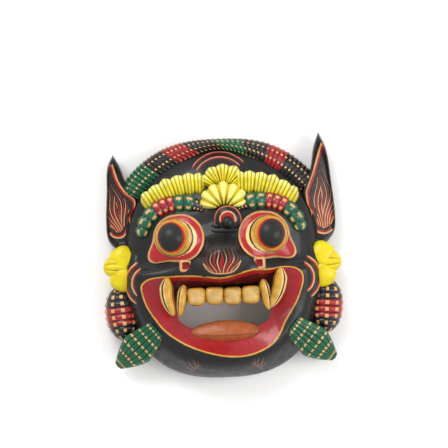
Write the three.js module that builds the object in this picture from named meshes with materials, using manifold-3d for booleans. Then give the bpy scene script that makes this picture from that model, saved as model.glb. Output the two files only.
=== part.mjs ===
// Barong mask: a hollow wooden mask carved from one block, lying on its flat back rim with the face up.
// Millimetres. X runs to the viewer's right, Y to the crown and Z out of the face, from the rim at Z = 0.
import * as THREE from "three";
import { mergeVertices } from "three/addons/utils/BufferGeometryUtils.js";
import Module from "manifold-3d";

const wasm = await Module();
wasm.setup();

// Driving dimensions

const LEFT = -1;
const RIGHT = 1;
const SIDES = [LEFT, RIGHT];

// The plain head under the carving: its outline, the height of its edge and the rise of its dome.
const HEAD = { halfWidth: 93, top: 103, bottom: 112, edge: 9, rise: 43, fullness: 2.5 };
const OUTLINE_POWER = { upper: 2.3, lower: 2.6 };

// Broad swellings of the face, each flat to a share of its size and gone at another.
const MOUNDS = [
  { name: "snout", x: 0, y: -1, halfWidth: 52, halfHeight: 32, height: 16, flatTo: 0.1, goneAt: 1.1 },
  { name: "nose", x: 0, y: -2, halfWidth: 27, halfHeight: 21, height: 16, flatTo: 0.32, goneAt: 1.15 },
  { name: "forehead", x: 0, y: 36, halfWidth: 66, halfHeight: 30, height: 6, flatTo: 0.2, goneAt: 1.2 },
];

// The hollow behind the face.
const HOLLOW = { halfWidth: 79, top: 88, bottom: 96, depth: 43, fullness: 2.6 };

// The grin: a lip line that is a half ellipse below and nearly straight above, and the hole behind it.
const MOUTH = {
  centreY: -22, halfWidth: 75, below: 70, above: 6, squareness: 0.4, tilt: 2, dip: 4, dipWidth: 24,
  holeY: -51, holeHalfWidth: 43, holeBelow: 16, holeAbove: 15, holeSquareness: 0.72,
  floor: 42, flare: 1.5,
};

// The lips: a rounded roll round the grin, higher over its top and its bottom than at its corners.
const LIP = { corner: 45, top: 29, bottom: 14, radius: 17, blend: 8, corners: 14 };

const NOSTRIL = { x: 33.5, y: -6, size: 10.5, rise: 2.2, holeSize: 6, holeDepth: 6 };
const EYE = { x: 43.5, y: 19, radius: 18, bulge: 22, sunk: 0, lean: 12 };
const LID = { x: 41, y: 18, radius: 22, nasal: 3, corner: 9.5, cornerAt: -38, cornerSpread: 22, rise: 9, skirt: 9 };
const THIRD_EYE = { x: 6.5, y: 35, radius: 5.5, mound: 13, moundRise: 7 };
const WRINKLES = { x: 3, y: [28.5, 24], halfWidth: 12, halfHeight: 2.6, rise: 3.5 };
const CHEEK = { x: 77, bow: 8, top: 16, bottom: -58, halfWidth: 13, height: 14, centreZ: 24 };

const BROW = { radius: 32, nasalRadius: 37, from: 3, to: 128, halfWidth: 7.4, height: 9, beads: 9, groove: 0.24 };
const HAIR = {
  from: 37, to: 145, inner: 91, innerTop: 98, outer: 114.5, outerTop: 109,
  height: 12, under: 15.5, centreZ: 18.5, cords: 34, groove: 0.11,
};

// The crown: a row of petals down each side, and two fans on the middle of the forehead.
const FOREHEAD_SHIFT = 3.5;
const PETAL_ROW = { from: [13, 67], to: [71, 49], arch: 6, halfWidth: 10.5, height: 9, petals: 6, groove: 0.2 };
const UPPER_FAN = { y: 60, radius: 15, spread: 150, halfWidth: 10.5, height: 12, petals: 5, groove: 0.2 };
const LOWER_FAN = { y: 43, radius: 14.5, spread: 176, halfWidth: 11.5, height: 16, petals: 5, groove: 0.2 };

const EAR = {
  back: 6, front: 24, tilt: 0.25, dish: 3.5, middle: [93, 45], waist: 54, leftTip: 98, leftLean: 0.1, rightTip: 112,
};
const EAR_INNER = [[84, 10], [80, 25], [83, 37.5], [76.5, 55], [84, 76], [88, 97]];
const EAR_TIP = [93, 112];
const EAR_OUTER = [[100, 95], [103.5, 66], [106, 36], [104.5, 19]];
const EAR_LOBE = [95, 7];
const FLOWER = { x: 88, y: -7, lean: -2, centreZ: 24, height: 8 };
const FLOWER_PETALS = [
  { angle: 74, reach: 20, halfWidth: 10.5 },
  { angle: 4, reach: 22, halfWidth: 8.5 },
  { angle: -64, reach: 21, halfWidth: 10.5 },
];
const KNOT = { top: [96, -24], bottom: [92, -74], halfWidth: 16.5, height: 14.5, centreZ: 17, ridges: 7, groove: 0.1 };
const TUFT = { root: [57, -58, 40], tip: [101, -98, 13], halfWidth: 16, height: 9, flutes: 8, groove: 0.15 };

const TEETH = { count: 4, pitch: 16.6, top: -28.5, bottom: -43.5, halfDepth: 9, centreZ: 55 };
const SIDE_FANG = { root: [36, -23, 54], tip: [41, -52, 57], halfWidth: 5, height: 7 };
const TUSK = { root: [51, -12, 56], tip: [46, -51, 57], bow: 3, halfWidth: 6, height: 7.5 };
const TONGUE = { y: -69, halfLength: 32, halfWidth: 10.5, height: 8, centreZ: 43.5 };

const WOOD = { color: 0x2b2a2a, roughness: 0.45, metalness: 0 };

// Small sums

const radians = THREE.MathUtils.degToRad;
const { lerp, smoothstep } = THREE.MathUtils;
const signedPower = (value, power) => Math.sign(value) * Math.abs(value) ** power;

/** Share of the way out to the head's outline, along the direction of a point. */
function outlineShare(x, y) {
  const power = y > 0 ? OUTLINE_POWER.upper : OUTLINE_POWER.lower;
  const reach = y > 0 ? HEAD.top : HEAD.bottom;
  return (Math.abs(x / HEAD.halfWidth) ** power + Math.abs(y / reach) ** power) ** (1 / power);
}

/** How far a mound lifts the face at a point. */
function moundHeight(mound, x, y) {
  const share = Math.hypot((x - mound.x) / mound.halfWidth, (y - mound.y) / mound.halfHeight);
  return mound.height * (1 - smoothstep(share, mound.flatTo, mound.goneAt));
}

/** The larger of two heights, with the corner between them rounded. */
const softMax = (a, b, blend) => (a + b + Math.hypot(a - b, blend)) / 2;

/** How far the lip line is from the hole's middle, in the direction of an offset from it. */
function lipDistance(dx, dy) {
  const drop = MOUTH.holeY - MOUTH.centreY;
  const a = (dx / MOUTH.halfWidth) ** 2 + (dy / MOUTH.below) ** 2;
  const b = 2 * drop * dy / MOUTH.below ** 2;
  const c = (drop / MOUTH.below) ** 2 - 1;
  const toEllipse = (-b + Math.sqrt(b * b - 4 * a * c)) / (2 * a);
  return dy > 0 ? -softMax(-toEllipse, (drop - MOUTH.above) / dy, LIP.corners * dy) : toEllipse;
}

/** Height of the rounded lips, which falls away outside the lip line. */
function lipHeight(x, y) {
  const [dx, dy] = [x, y - MOUTH.holeY];
  const away = Math.max(1e-6, Math.hypot(dx, dy));
  const upness = dy / away;
  const crest = LIP.corner + (upness > 0 ? LIP.top * upness ** 2 : LIP.bottom * upness ** 2);
  const beyond = Math.max(0, away - lipDistance(dx / away, dy / away));
  return beyond < LIP.radius ? crest - LIP.radius + Math.sqrt(LIP.radius ** 2 - beyond ** 2) : 0;
}

/** Height of the plain face, before its carving, over the back rim. */
function faceHeight(x, y) {
  const share = Math.min(1, outlineShare(x, y));
  const dome = HEAD.edge + HEAD.rise * Math.sqrt(1 - share ** HEAD.fullness);
  const swollen = MOUNDS.reduce((z, mound) => z + moundHeight(mound, x, y) * (1 - share ** 8), dome);
  return softMax(swollen, lipHeight(x, y), LIP.blend * (1 - share ** 8));
}

// Solids from three.js geometry

/** A closed geometry as a solid, with its doubled vertices merged and its faces turned outwards. */
function solidOf(geometry) {
  const bare = new THREE.BufferGeometry();
  bare.setAttribute("position", geometry.getAttribute("position"));
  bare.setIndex(geometry.index);
  const merged = mergeVertices(bare, 1e-4);
  const corners = merged.index.array;
  const [a, b, c] = [new THREE.Vector3(), new THREE.Vector3(), new THREE.Vector3()];
  const triangles = [];
  let volume = 0;
  for (let i = 0; i < corners.length; i += 3) {
    const [p, q, r] = corners.slice(i, i + 3);
    if (p === q || q === r || r === p) continue;
    triangles.push([p, q, r]);
    a.fromBufferAttribute(merged.attributes.position, p);
    b.fromBufferAttribute(merged.attributes.position, q);
    c.fromBufferAttribute(merged.attributes.position, r);
    volume += a.dot(b.cross(c));
  }
  const outward = triangles.map(([p, q, r]) => (volume < 0 ? [p, r, q] : [p, q, r]));
  return new wasm.Manifold(new wasm.Mesh({
    numProp: 3,
    vertProperties: new Float32Array(merged.attributes.position.array),
    triVerts: new Uint32Array(outward.flat()),
  }));
}

/** Moves each vertex of a geometry to where place(vertex) says. */
function reshape(geometry, place) {
  const position = geometry.getAttribute("position");
  const vertex = new THREE.Vector3();
  for (let i = 0; i < position.count; i += 1) {
    const [x, y, z] = place(vertex.fromBufferAttribute(position, i));
    position.setXYZ(i, x, y, z);
  }
  return geometry;
}

/** A round of rings: profile points are [share of the way out, ring number], and place(share, angle, ring) sets each one. */
function ringed(profile, segments, place) {
  const points = profile.map(([share, ring]) => new THREE.Vector2(share, ring));
  const lathe = new THREE.LatheGeometry(points, segments);
  return solidOf(reshape(lathe, ({ x, y, z }) => place(Math.hypot(x, z), Math.atan2(z, x), y)));
}

/** A roll along a path in the face's plane, closed to a point at both ends. reach gives its half width and half height. */
function roll(path, reach, sides, steps) {
  const ball = new THREE.SphereGeometry(1, sides, steps);
  const step = 1e-3;
  return solidOf(reshape(ball, (vertex) => {
    const share = Math.acos(THREE.MathUtils.clamp(vertex.y, -1, 1)) / Math.PI;
    const angle = Math.atan2(vertex.z, vertex.x);
    const [x, y, z] = path(share);
    const [x1, y1] = path(Math.max(0, share - step));
    const [x2, y2] = path(Math.min(1, share + step));
    const length = Math.hypot(x2 - x1, y2 - y1);
    const [width, height] = share > 0 && share < 1 ? reach(share, angle) : [0, 0];
    const across = width * Math.cos(angle);
    return [x - across * (y2 - y1) / length, y + across * (x2 - x1) / length, z + height * Math.sin(angle)];
  }));
}

/** An ellipsoid that leans sideways about Y by an angle in degrees. */
function ellipsoid([x, y, z], [rx, ry, rz], sides, steps, lean = 0) {
  const ball = new THREE.SphereGeometry(1, sides, steps);
  ball.rotateX(Math.PI / 2).scale(rx, ry, rz).rotateY(radians(lean)).translate(x, y, z);
  return solidOf(ball);
}

/** Blunt or pointed ends for a roll: 1 along its middle and 0 at both ends. */
const roundEnds = (share, power) => Math.sqrt(Math.max(0, 1 - Math.abs(2 * share - 1) ** power));

/** A roll that is ridged across into beads. */
function beadedRoll(path, halfWidth, height, { beads, groove, blunt, sides, under = height }) {
  const widthAt = typeof halfWidth === "function" ? halfWidth : () => halfWidth;
  const reach = (share, angle) => {
    const scale = roundEnds(share, blunt) * ridged(beads * share + 0.5, groove);
    return [widthAt(share) * scale, (Math.sin(angle) < 0 ? under : height) * scale];
  };
  return roll(path, reach, sides, 2 * beads);
}

/** Ridges along a roll: 1 on each ridge and less by depth in the groove between two. */
const ridged = (turns, depth) => 1 - depth * (1 - Math.abs(Math.cos(Math.PI * turns)));

// The head and its hollow

/** The plain face down to its flat back. */
function head() {
  const rings = [0, 0.09, 0.18, 0.28, 0.4, 0.52, 0.64, 0.75, 0.84, 0.92, 0.975, 1];
  const profile = [...rings.map((share, ring) => [share, rings.length - ring]), [1, 0], [0, 0]];
  return ringed(profile, 56, (share, angle, ring) => {
    const [dx, dy] = [Math.cos(angle), Math.sin(angle)];
    const reach = share / outlineShare(dx, dy);
    const [x, y] = [dx * reach, dy * reach];
    return [x, y, ring < 0.5 ? 0 : faceHeight(x, y)];
  });
}

/** The space carved out of the back. */
function hollow() {
  const rings = [0, 0.35, 0.62, 0.82, 0.94, 1];
  const below = -5;
  const profile = [...rings.map((share, ring) => [share, rings.length - ring]), [1, 0], [0, 0]];
  return ringed(profile, 32, (share, angle, ring) => {
    const [dx, dy] = [Math.cos(angle), Math.sin(angle)];
    const reach = dy > 0 ? HOLLOW.top : HOLLOW.bottom;
    const z = HOLLOW.depth * Math.sqrt(Math.max(0, 1 - share ** HOLLOW.fullness));
    return [share * HOLLOW.halfWidth * dx, share * reach * dy, ring < 0.5 ? below : z];
  });
}

// The mouth

/** A point of the mouth, after the grin's slight tilt up to the right. */
function tilted(x, y) {
  return [x, y + x * Math.tan(radians(MOUTH.tilt))];
}

/** A point of the lip line, by its turn round the mouth. */
function lipPoint(turn) {
  const rise = Math.sin(turn) > 0 ? MOUTH.above * Math.sin(turn) ** MOUTH.squareness : MOUTH.below * Math.sin(turn);
  const x = MOUTH.halfWidth * Math.cos(turn);
  const dip = Math.sin(turn) > 0 ? MOUTH.dip * Math.exp(-((x / MOUTH.dipWidth) ** 2)) : 0;
  return tilted(x, MOUTH.centreY + rise - dip);
}

/** A point of the hole's edge, by its turn round the mouth. */
function holePoint(turn) {
  const rise = signedPower(Math.sin(turn), MOUTH.holeSquareness);
  const reach = rise > 0 ? MOUTH.holeAbove : MOUTH.holeBelow;
  return [MOUTH.holeHalfWidth * signedPower(Math.cos(turn), MOUTH.holeSquareness), MOUTH.holeY + reach * rise];
}

/** What is cut away for the open mouth: a flare from the lip line in to the hole, and the hole on through the wood. */
function mouthCut() {
  const shares = [0, 0.2, 0.55, 1];
  const [under, over] = [-5, 12];
  const rings = [under, ...shares.map((share) => share), over];
  const profile = [[0, 0], ...rings.map((_, ring) => [1, ring + 1]), [0, rings.length + 1]];
  return ringed(profile, 40, (out, angle, ringHeight) => {
    const ring = Math.min(rings.length - 1, Math.max(0, Math.round(ringHeight) - 1));
    const share = ring === 0 ? 0 : Math.min(1, rings[ring]);
    const [hx, hy] = holePoint(angle);
    const [lx, ly] = lipPoint(angle);
    const [x, y] = [lerp(hx, lx, share), lerp(hy, ly, share)];
    const wall = lerp(MOUTH.floor, faceHeight(lx, ly), share ** MOUTH.flare);
    const z = ring === 0 ? under : ring === rings.length - 1 ? faceHeight(lx, ly) + over : wall;
    const middle = [0, MOUTH.holeY];
    return [lerp(middle[0], x, out), lerp(middle[1], y, out), out > 0.5 ? z : ring === 0 ? under : 110];
  });
}

/** The row of blunt teeth under the upper lip. */
function teeth() {
  return Array.from({ length: TEETH.count }, (_, i) => {
    const x = (i - (TEETH.count - 1) / 2) * TEETH.pitch;
    const path = (share) => [x, lerp(TEETH.top, TEETH.bottom, share), TEETH.centreZ];
    const reach = (share) => [TEETH.pitch * 0.53, TEETH.halfDepth].map((half) => half * roundEnds(share, 5));
    return roll(path, reach, 8, 5);
  });
}

/** A pointed tooth from a root to a tip, bowed sideways. */
function fang({ root, tip, bow = 0, halfWidth, height }, side) {
  const path = (share) => {
    const across = side * (lerp(root[0], tip[0], share) + bow * Math.sin(Math.PI * share));
    return [...tilted(across, lerp(root[1], tip[1], share)), lerp(root[2], tip[2], share)];
  };
  const taper = (share) => Math.min(1, 4 * share) ** 0.5 * (1 - share ** 4) ** 0.6;
  return roll(path, (share) => [halfWidth * taper(share), height * taper(share)], 7, 6);
}

/** The tongue, lying along the lower lip. */
function tongue() {
  const path = (share) => [lerp(-TONGUE.halfLength, TONGUE.halfLength, share), TONGUE.y, TONGUE.centreZ];
  return roll(path, (share) => [TONGUE.halfWidth, TONGUE.height].map((half) => half * roundEnds(share, 2)), 8, 7);
}

// The eyes, nose and cheeks

/** An eyelid's reach from its middle, by the angle from the outward direction. */
function lidReach(angle) {
  const toCorner = Math.abs(THREE.MathUtils.euclideanModulo(angle - radians(LID.cornerAt) + Math.PI, 2 * Math.PI) - Math.PI);
  const corner = LID.corner * Math.exp(-((toCorner / radians(LID.cornerSpread)) ** 2));
  return LID.radius - LID.nasal * Math.min(0, Math.cos(angle)) + corner;
}

/** The lid round an eye: a low almond that stands proud of the face, pointed at its outer corner. */
function lid(side) {
  const profile = [[0, 4], [0.8, 3], [1, 2], [1.02, 1], [0, 0]];
  return ringed(profile, 28, (share, angle, ring) => {
    const reach = share * lidReach(angle);
    const [x, y] = [LID.x + reach * Math.cos(angle), LID.y + reach * Math.sin(angle)];
    const top = faceHeight(x, y) + LID.rise * (1 - 0.6 * share ** 2);
    return [side * x, y, ring > 1.5 ? top : faceHeight(x, y) - LID.skirt];
  });
}

/** The bulging eyeball, turned a little outwards. */
function eyeball(side) {
  const seat = faceHeight(EYE.x, EYE.y) - EYE.sunk;
  const radii = [EYE.radius, EYE.radius, EYE.bulge];
  return ellipsoid([side * EYE.x, EYE.y, seat], radii, 16, 9, side * EYE.lean);
}

/** A square block on the nostril's place, between two heights over the face. */
function nostrilBlock(side, size, from, to) {
  const seat = faceHeight(NOSTRIL.x, NOSTRIL.y);
  const block = new THREE.BoxGeometry(size, size, to - from);
  return solidOf(block.translate(side * NOSTRIL.x, NOSTRIL.y, seat + (from + to) / 2));
}

/** The mound and small ball on the forehead, and the wrinkles over the nose. */
function foreheadBumps() {
  const seat = faceHeight(THIRD_EYE.x, THIRD_EYE.y);
  const { x, y, radius, mound, moundRise } = THIRD_EYE;
  const ball = ellipsoid([x, y, seat + moundRise], [radius, radius, radius], 8, 5);
  const swelling = ellipsoid([x, y, seat], [mound, mound, moundRise + 1], 12, 5);
  const folds = WRINKLES.y.map((foldY) => {
    const height = faceHeight(WRINKLES.x, foldY);
    return ellipsoid([WRINKLES.x, foldY, height], [WRINKLES.halfWidth, WRINKLES.halfHeight, WRINKLES.rise], 8, 5);
  });
  return [swelling, ball, ...folds];
}

/** The rounded jowl beside the mouth. */
function cheek(side) {
  const path = (share) => [
    side * (CHEEK.x + CHEEK.bow * Math.sin(Math.PI * share)), lerp(CHEEK.top, CHEEK.bottom, share), CHEEK.centreZ,
  ];
  const reach = (share) => [CHEEK.halfWidth, CHEEK.height].map((half) => half * roundEnds(share, 2.4));
  return roll(path, reach, 8, 7);
}

/** The beaded roll of a brow, bent round the eye. */
function brow(side) {
  const path = (share) => {
    const angle = radians(lerp(BROW.from, BROW.to, share));
    const radius = lerp(BROW.radius, BROW.nasalRadius, smoothstep(share, 0.6, 1));
    const [x, y] = [LID.x + radius * Math.cos(angle), LID.y + radius * Math.sin(angle)];
    return [side * x, y, faceHeight(x, y)];
  };
  return beadedRoll(path, BROW.halfWidth, BROW.height, { beads: BROW.beads, groove: BROW.groove, blunt: 8, sides: 8 });
}

// The hair and the crown of petals

/** The roll of twisted hair over the top of the head, ridged across into cords. */
function hair() {
  const topness = (angle) => Math.max(0, Math.sin(angle)) ** 16;
  const path = (share) => {
    const angle = radians(lerp(HAIR.from, HAIR.to, share));
    const inner = lerp(HAIR.inner, HAIR.innerTop, topness(angle));
    const outer = lerp(HAIR.outer, HAIR.outerTop, topness(angle));
    const middle = (inner + outer) / 2;
    return [middle * Math.cos(angle), middle * Math.sin(angle), HAIR.centreZ];
  };
  const halfWidth = (share) => {
    const angle = radians(lerp(HAIR.from, HAIR.to, share));
    return lerp(HAIR.outer - HAIR.inner, HAIR.outerTop - HAIR.innerTop, topness(angle)) / 2;
  };
  const { cords, groove, height, under } = HAIR;
  return beadedRoll(path, halfWidth, height, { beads: cords, groove, blunt: 24, sides: 6, under });
}

/** The row of petals down one side of the crown. */
function petalRow(side) {
  const { from, to, arch, halfWidth, height, petals, groove } = PETAL_ROW;
  const path = (share) => {
    const [x, y] = [lerp(from[0], to[0], share), lerp(from[1], to[1], share) + arch * Math.sin(Math.PI * share)];
    return [side * x, y, faceHeight(x, y)];
  };
  return beadedRoll(path, halfWidth, height, { beads: petals, groove, blunt: 8, sides: 8 });
}

/** A fan of petals on the middle of the forehead, as a roll bent round the fan's root. */
function fan({ y, radius, spread, halfWidth, height, petals, groove }) {
  const path = (share) => {
    const angle = radians(90 + spread * (0.5 - share));
    const at = [FOREHEAD_SHIFT + radius * Math.cos(angle), y + radius * Math.sin(angle)];
    return [...at, faceHeight(FOREHEAD_SHIFT, y + radius)];
  };
  return beadedRoll(path, halfWidth, height, { beads: petals, groove, blunt: 5, sides: 10 });
}

/** The whole crown: petals down both sides and the two fans. */
function crown() {
  return [...SIDES.map(petalRow), fan(UPPER_FAN), fan(LOWER_FAN)];
}

// The ears, flowers, hair knots and tufts at the sides

/** The flame-shaped edge of an ear, by the turn from its lobe up the inner side, over the tip and down the outer side. */
function earEdge(side) {
  const tip = side === RIGHT ? EAR.rightTip : EAR.leftTip;
  const stretch = (tip - EAR.waist) / (EAR.rightTip - EAR.waist);
  const lean = side === RIGHT ? 0 : EAR.leftLean;
  const place = ([x, y]) => {
    const above = Math.max(0, y - EAR.waist) * stretch;
    return new THREE.Vector2(side * (x + lean * above), Math.min(y, EAR.waist) + above);
  };
  const inner = new THREE.SplineCurve([EAR_LOBE, ...EAR_INNER, EAR_TIP].map(place));
  const outer = new THREE.SplineCurve([EAR_TIP, ...EAR_OUTER, EAR_LOBE].map(place));
  return (turn) => (turn < 0.5 ? inner.getPointAt(2 * turn) : outer.getPointAt(2 * turn - 1));
}

/** A pointed ear: a slab with a rounded edge, a rim and a dished front. */
function ear(side) {
  const edge = earEdge(side);
  const { back, front, dish, middle } = EAR;
  const heights = [back, back, (back + front) / 2, front - 2, front, front - dish, front - dish];
  const profile = [[0, 0], [0.96, 1], [1, 2], [0.985, 3], [0.93, 4], [0.78, 5], [0, 6]];
  return ringed(profile, 28, (share, angle, ring) => {
    const point = edge(THREE.MathUtils.euclideanModulo(angle / (2 * Math.PI) + 1e-9, 1));
    const [x, y] = [lerp(side * middle[0], point.x, share), lerp(middle[1], point.y, share)];
    const raised = ring > 2.5 ? EAR.tilt * (middle[0] - Math.abs(x)) : 0;
    return [x, y, heights[Math.round(ring)] + raised];
  });
}

/** The gilt flower at the ear's lobe. */
function flower(side) {
  return FLOWER_PETALS.map(({ angle, reach, halfWidth }) => {
    const [dx, dy] = [Math.cos(radians(angle)) * reach, Math.sin(radians(angle)) * reach];
    const path = (share) => [side * (FLOWER.x + dx * share), FLOWER.y + dy * share, FLOWER.centreZ + FLOWER.lean * share];
    return roll(path, (share) => [halfWidth, FLOWER.height].map((half) => half * roundEnds(share, 3)), 8, 5);
  });
}

/** The bundle of hair below the flower, bound into rings. */
function knot(side) {
  const path = (share) => [
    side * lerp(KNOT.top[0], KNOT.bottom[0], share), lerp(KNOT.top[1], KNOT.bottom[1], share), KNOT.centreZ,
  ];
  return beadedRoll(path, KNOT.halfWidth, KNOT.height, { beads: KNOT.ridges, groove: KNOT.groove, blunt: 2.2, sides: 8 });
}

/** The pointed tuft at the jaw, fluted along its length. */
function tuft(side) {
  const at = (axis, share) => lerp(TUFT.root[axis], TUFT.tip[axis], share);
  const path = (share) => [side * at(0, share), at(1, share), at(2, share)];
  const reach = (share, angle) => {
    const taper = share < 0.5 ? lerp(0.65, 1, 2 * share) : 1 - 0.8 * (2 * share - 1) ** 1.4;
    const flute = ridged(TUFT.flutes * angle / (2 * Math.PI), TUFT.groove);
    return [TUFT.halfWidth * taper, TUFT.height * taper * flute];
  };
  return roll(path, reach, 2 * TUFT.flutes, 7);
}

// The carved block

/** Everything that stands on the face, joined and opened. */
function carvedMask() {
  const onTheFace = [
    ...SIDES.flatMap((side) => [lid(side), eyeball(side), cheek(side), brow(side)]),
    ...SIDES.flatMap((side) => [ear(side), ...flower(side), knot(side), tuft(side)]),
    ...SIDES.map((side) => nostrilBlock(side, NOSTRIL.size, -8, NOSTRIL.rise)),
    ...foreheadBumps(), hair(), ...crown(),
  ];
  const inTheMouth = [
    ...teeth(), ...SIDES.flatMap((side) => [fang(SIDE_FANG, side), fang(TUSK, side)]), tongue(),
  ];
  const face = onTheFace.reduce((block, form) => block.add(form), head());
  const nostrils = SIDES.map((side) => nostrilBlock(side, NOSTRIL.holeSize, -NOSTRIL.holeDepth, 5));
  const opened = [mouthCut(), ...nostrils].reduce((block, cut) => block.subtract(cut), face);
  const toothed = inTheMouth.reduce((block, form) => block.add(form), opened);
  return toothed.subtract(hollow());
}

/** A solid as a three.js geometry. */
function geometryOf(solid) {
  const { vertProperties, triVerts } = solid.getMesh();
  const geometry = new THREE.BufferGeometry();
  geometry.setAttribute("position", new THREE.BufferAttribute(vertProperties, 3));
  geometry.setIndex(new THREE.BufferAttribute(triVerts, 1));
  return geometry;
}

const mask = new THREE.Mesh(geometryOf(carvedMask()), new THREE.MeshStandardMaterial(WOOD));
mask.name = "mask";

const barongMask = new THREE.Group();
barongMask.add(mask);

export default barongMask;
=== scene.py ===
"""Looks of a barong mask: carved from one block of light wood, brush painted and varnished.

Sizes are in millimetres in the part's own frame: X to the viewer's right, Y to the crown and Z out of
the face, from the flat back rim at Z = 0.
"""

import logging
import math
from dataclasses import dataclass, field
from enum import Enum
from typing import Any, Callable

import bpy
import numpy as np
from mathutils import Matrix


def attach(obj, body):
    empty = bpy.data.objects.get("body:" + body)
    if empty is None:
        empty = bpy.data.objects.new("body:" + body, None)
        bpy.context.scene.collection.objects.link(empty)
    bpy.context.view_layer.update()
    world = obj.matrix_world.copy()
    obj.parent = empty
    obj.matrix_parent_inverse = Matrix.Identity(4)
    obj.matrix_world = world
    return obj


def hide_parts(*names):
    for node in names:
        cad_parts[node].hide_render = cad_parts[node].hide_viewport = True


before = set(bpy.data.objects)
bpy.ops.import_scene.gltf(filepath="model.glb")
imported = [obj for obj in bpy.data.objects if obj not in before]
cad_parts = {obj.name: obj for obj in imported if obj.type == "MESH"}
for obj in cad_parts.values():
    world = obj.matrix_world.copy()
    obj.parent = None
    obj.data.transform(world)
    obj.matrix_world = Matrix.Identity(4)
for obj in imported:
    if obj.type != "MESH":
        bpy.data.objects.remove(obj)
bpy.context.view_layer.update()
LOG = logging.getLogger("barong_mask")
MM = 0.001
# A share this near to a pole of a form is the pole itself.
POLE = 1e-4
# Where the forms that cut the hollow and the mouth begin, clear of the rim.
BELOW_RIM = -5.0
# Points measured against a line at a time, to spare memory.
BATCH = 3000
# Points of a smooth curve between two given ones, before they are spaced evenly.
CURVE_STEPS = 40
Form = bpy.types.Object
Tree = bpy.types.NodeTree
Array = np.ndarray
Place = Callable[[Array, Array], Array]
Paint = Callable[[Array, Array, Array], Array]


class Side(Enum):
    """The two sides of the face, as the viewer sees them."""

    LEFT = -1
    RIGHT = 1

    @property
    def label(self) -> str:
        """The side's part of a form's name."""
        return self.name.lower()


class Hue(Enum):
    """The mask's paints and bare wood, as sRGB hex values."""

    CHARCOAL = "#1b1a1a"
    PUPIL = "#222321"
    INK = "#0d0c0c"
    CRIMSON = "#9b121b"
    SCARLET = "#a8191f"
    MAROON = "#541219"
    EMERALD = "#0a5a3a"
    LEMON = "#d8c30e"
    PALE_LEMON = "#eee27a"
    OLIVE = "#5c6410"
    TAN = "#d3a068"
    ROSE = "#b9745c"
    CREAM = "#e3c17c"
    OCHRE = "#c8963c"
    IVORY = "#c8a566"
    ORANGE = "#cf6d22"
    BROWN = "#7a4d1e"
    CLAY = "#a3552c"
    DARK_CLAY = "#74391f"
    BARE_WOOD = "#c29a66"
    WOOD_GRAIN = "#8a6236"
    PAPER = "#fbfaf9"

    @property
    def rgba(self) -> tuple[float, float, float, float]:
        """The colour as linear light."""
        return linear(self.value)


# Small sums


def linear(hex_colour: str) -> tuple[float, float, float, float]:
    """Turns an sRGB hex value to linear light.

    Args:
        hex_colour: A value such as "#aabbcc".

    Returns:
        Red, green, blue and an alpha of one.
    """
    shares = [int(hex_colour[i : i + 2], 16) / 255 for i in (1, 3, 5)]
    light = [s / 12.92 if s <= 0.04045 else ((s + 0.055) / 1.055) ** 2.4 for s in shares]
    return (light[0], light[1], light[2], 1.0)


def lerp(a: Any, b: Any, share: Any) -> Any:
    """The value a share of the way from a to b."""
    return a + (b - a) * share


def smoothstep(value: Any, low: float, high: float) -> Array:
    """A smooth step from 0 at low to 1 at high."""
    share = np.clip((np.asarray(value, float) - low) / (high - low), 0, 1)
    return share * share * (3 - 2 * share)


def soft_max(a: Array, b: Array, blend: Any) -> Array:
    """The larger of two heights, with the corner between them rounded."""
    return (a + b + np.hypot(a - b, blend)) / 2


def round_ends(share: Array, power: float) -> Array:
    """1 along a roll's middle and 0 at both ends; a high power makes the ends blunt."""
    return np.sqrt(np.clip(1 - np.abs(2 * share - 1) ** power, 0, None))


def ridged(phase: Array, depth: float) -> Array:
    """1 on the crest between two whole numbers and less by depth in the groove at each."""
    return 1 - depth * (1 - np.abs(np.sin(np.pi * phase)))


def stacked(*columns: Any) -> Array:
    """Columns of numbers side by side, each spread to the longest one's length."""
    return np.stack(np.broadcast_arrays(*[np.asarray(c, float) for c in columns]), axis=-1)


def cos_sin(degrees: float) -> tuple[float, float]:
    """Cosine and sine of an angle in degrees."""
    return math.cos(math.radians(degrees)), math.sin(math.radians(degrees))


def unit_ball(share: Array, turn: Array) -> Array:
    """Places on a ball of radius one, by share from pole to pole and turn round it."""
    out = np.sin(np.pi * share)
    return stacked(out * np.cos(turn), out * np.sin(turn), np.cos(np.pi * share))


def ring_of(share: Array, rings: int) -> Array:
    """The number of a ball's ring at a share from pole to pole."""
    return np.rint(share * rings).astype(int)


def spline(points: list[tuple[float, float]], count: int, closed: bool = False) -> Array:
    """A smooth curve through points.

    Args:
        points: Where the curve passes, in order.
        count: How many points the curve gets, equally far apart.
        closed: Whether it runs back to its start.

    Returns:
        The curve's points, one row each.
    """
    given = np.array(points, float)
    if closed:
        given = np.vstack([given[-1:], given, given[:2]])
    else:
        given = np.vstack([given[:1], given, given[-1:]])
    rows = []
    t = np.linspace(0, 1, CURVE_STEPS, endpoint=False)[:, None]
    for p0, p1, p2, p3 in zip(given, given[1:], given[2:], given[3:]):
        v1, v2 = (p2 - p0) / 2, (p3 - p1) / 2
        cubic, square = 2 * p1 - 2 * p2 + v1 + v2, -3 * p1 + 3 * p2 - 2 * v1 - v2
        rows.append(cubic * t**3 + square * t**2 + v1 * t + p1)
    dense = np.vstack([*rows, given[1:2] if closed else given[-1:]])
    along = np.concatenate([[0], np.cumsum(np.hypot(*np.diff(dense, axis=0).T))])
    wanted = np.linspace(0, along[-1], count)
    return np.stack([np.interp(wanted, along, dense[:, 0]), np.interp(wanted, along, dense[:, 1])], axis=1)


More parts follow.
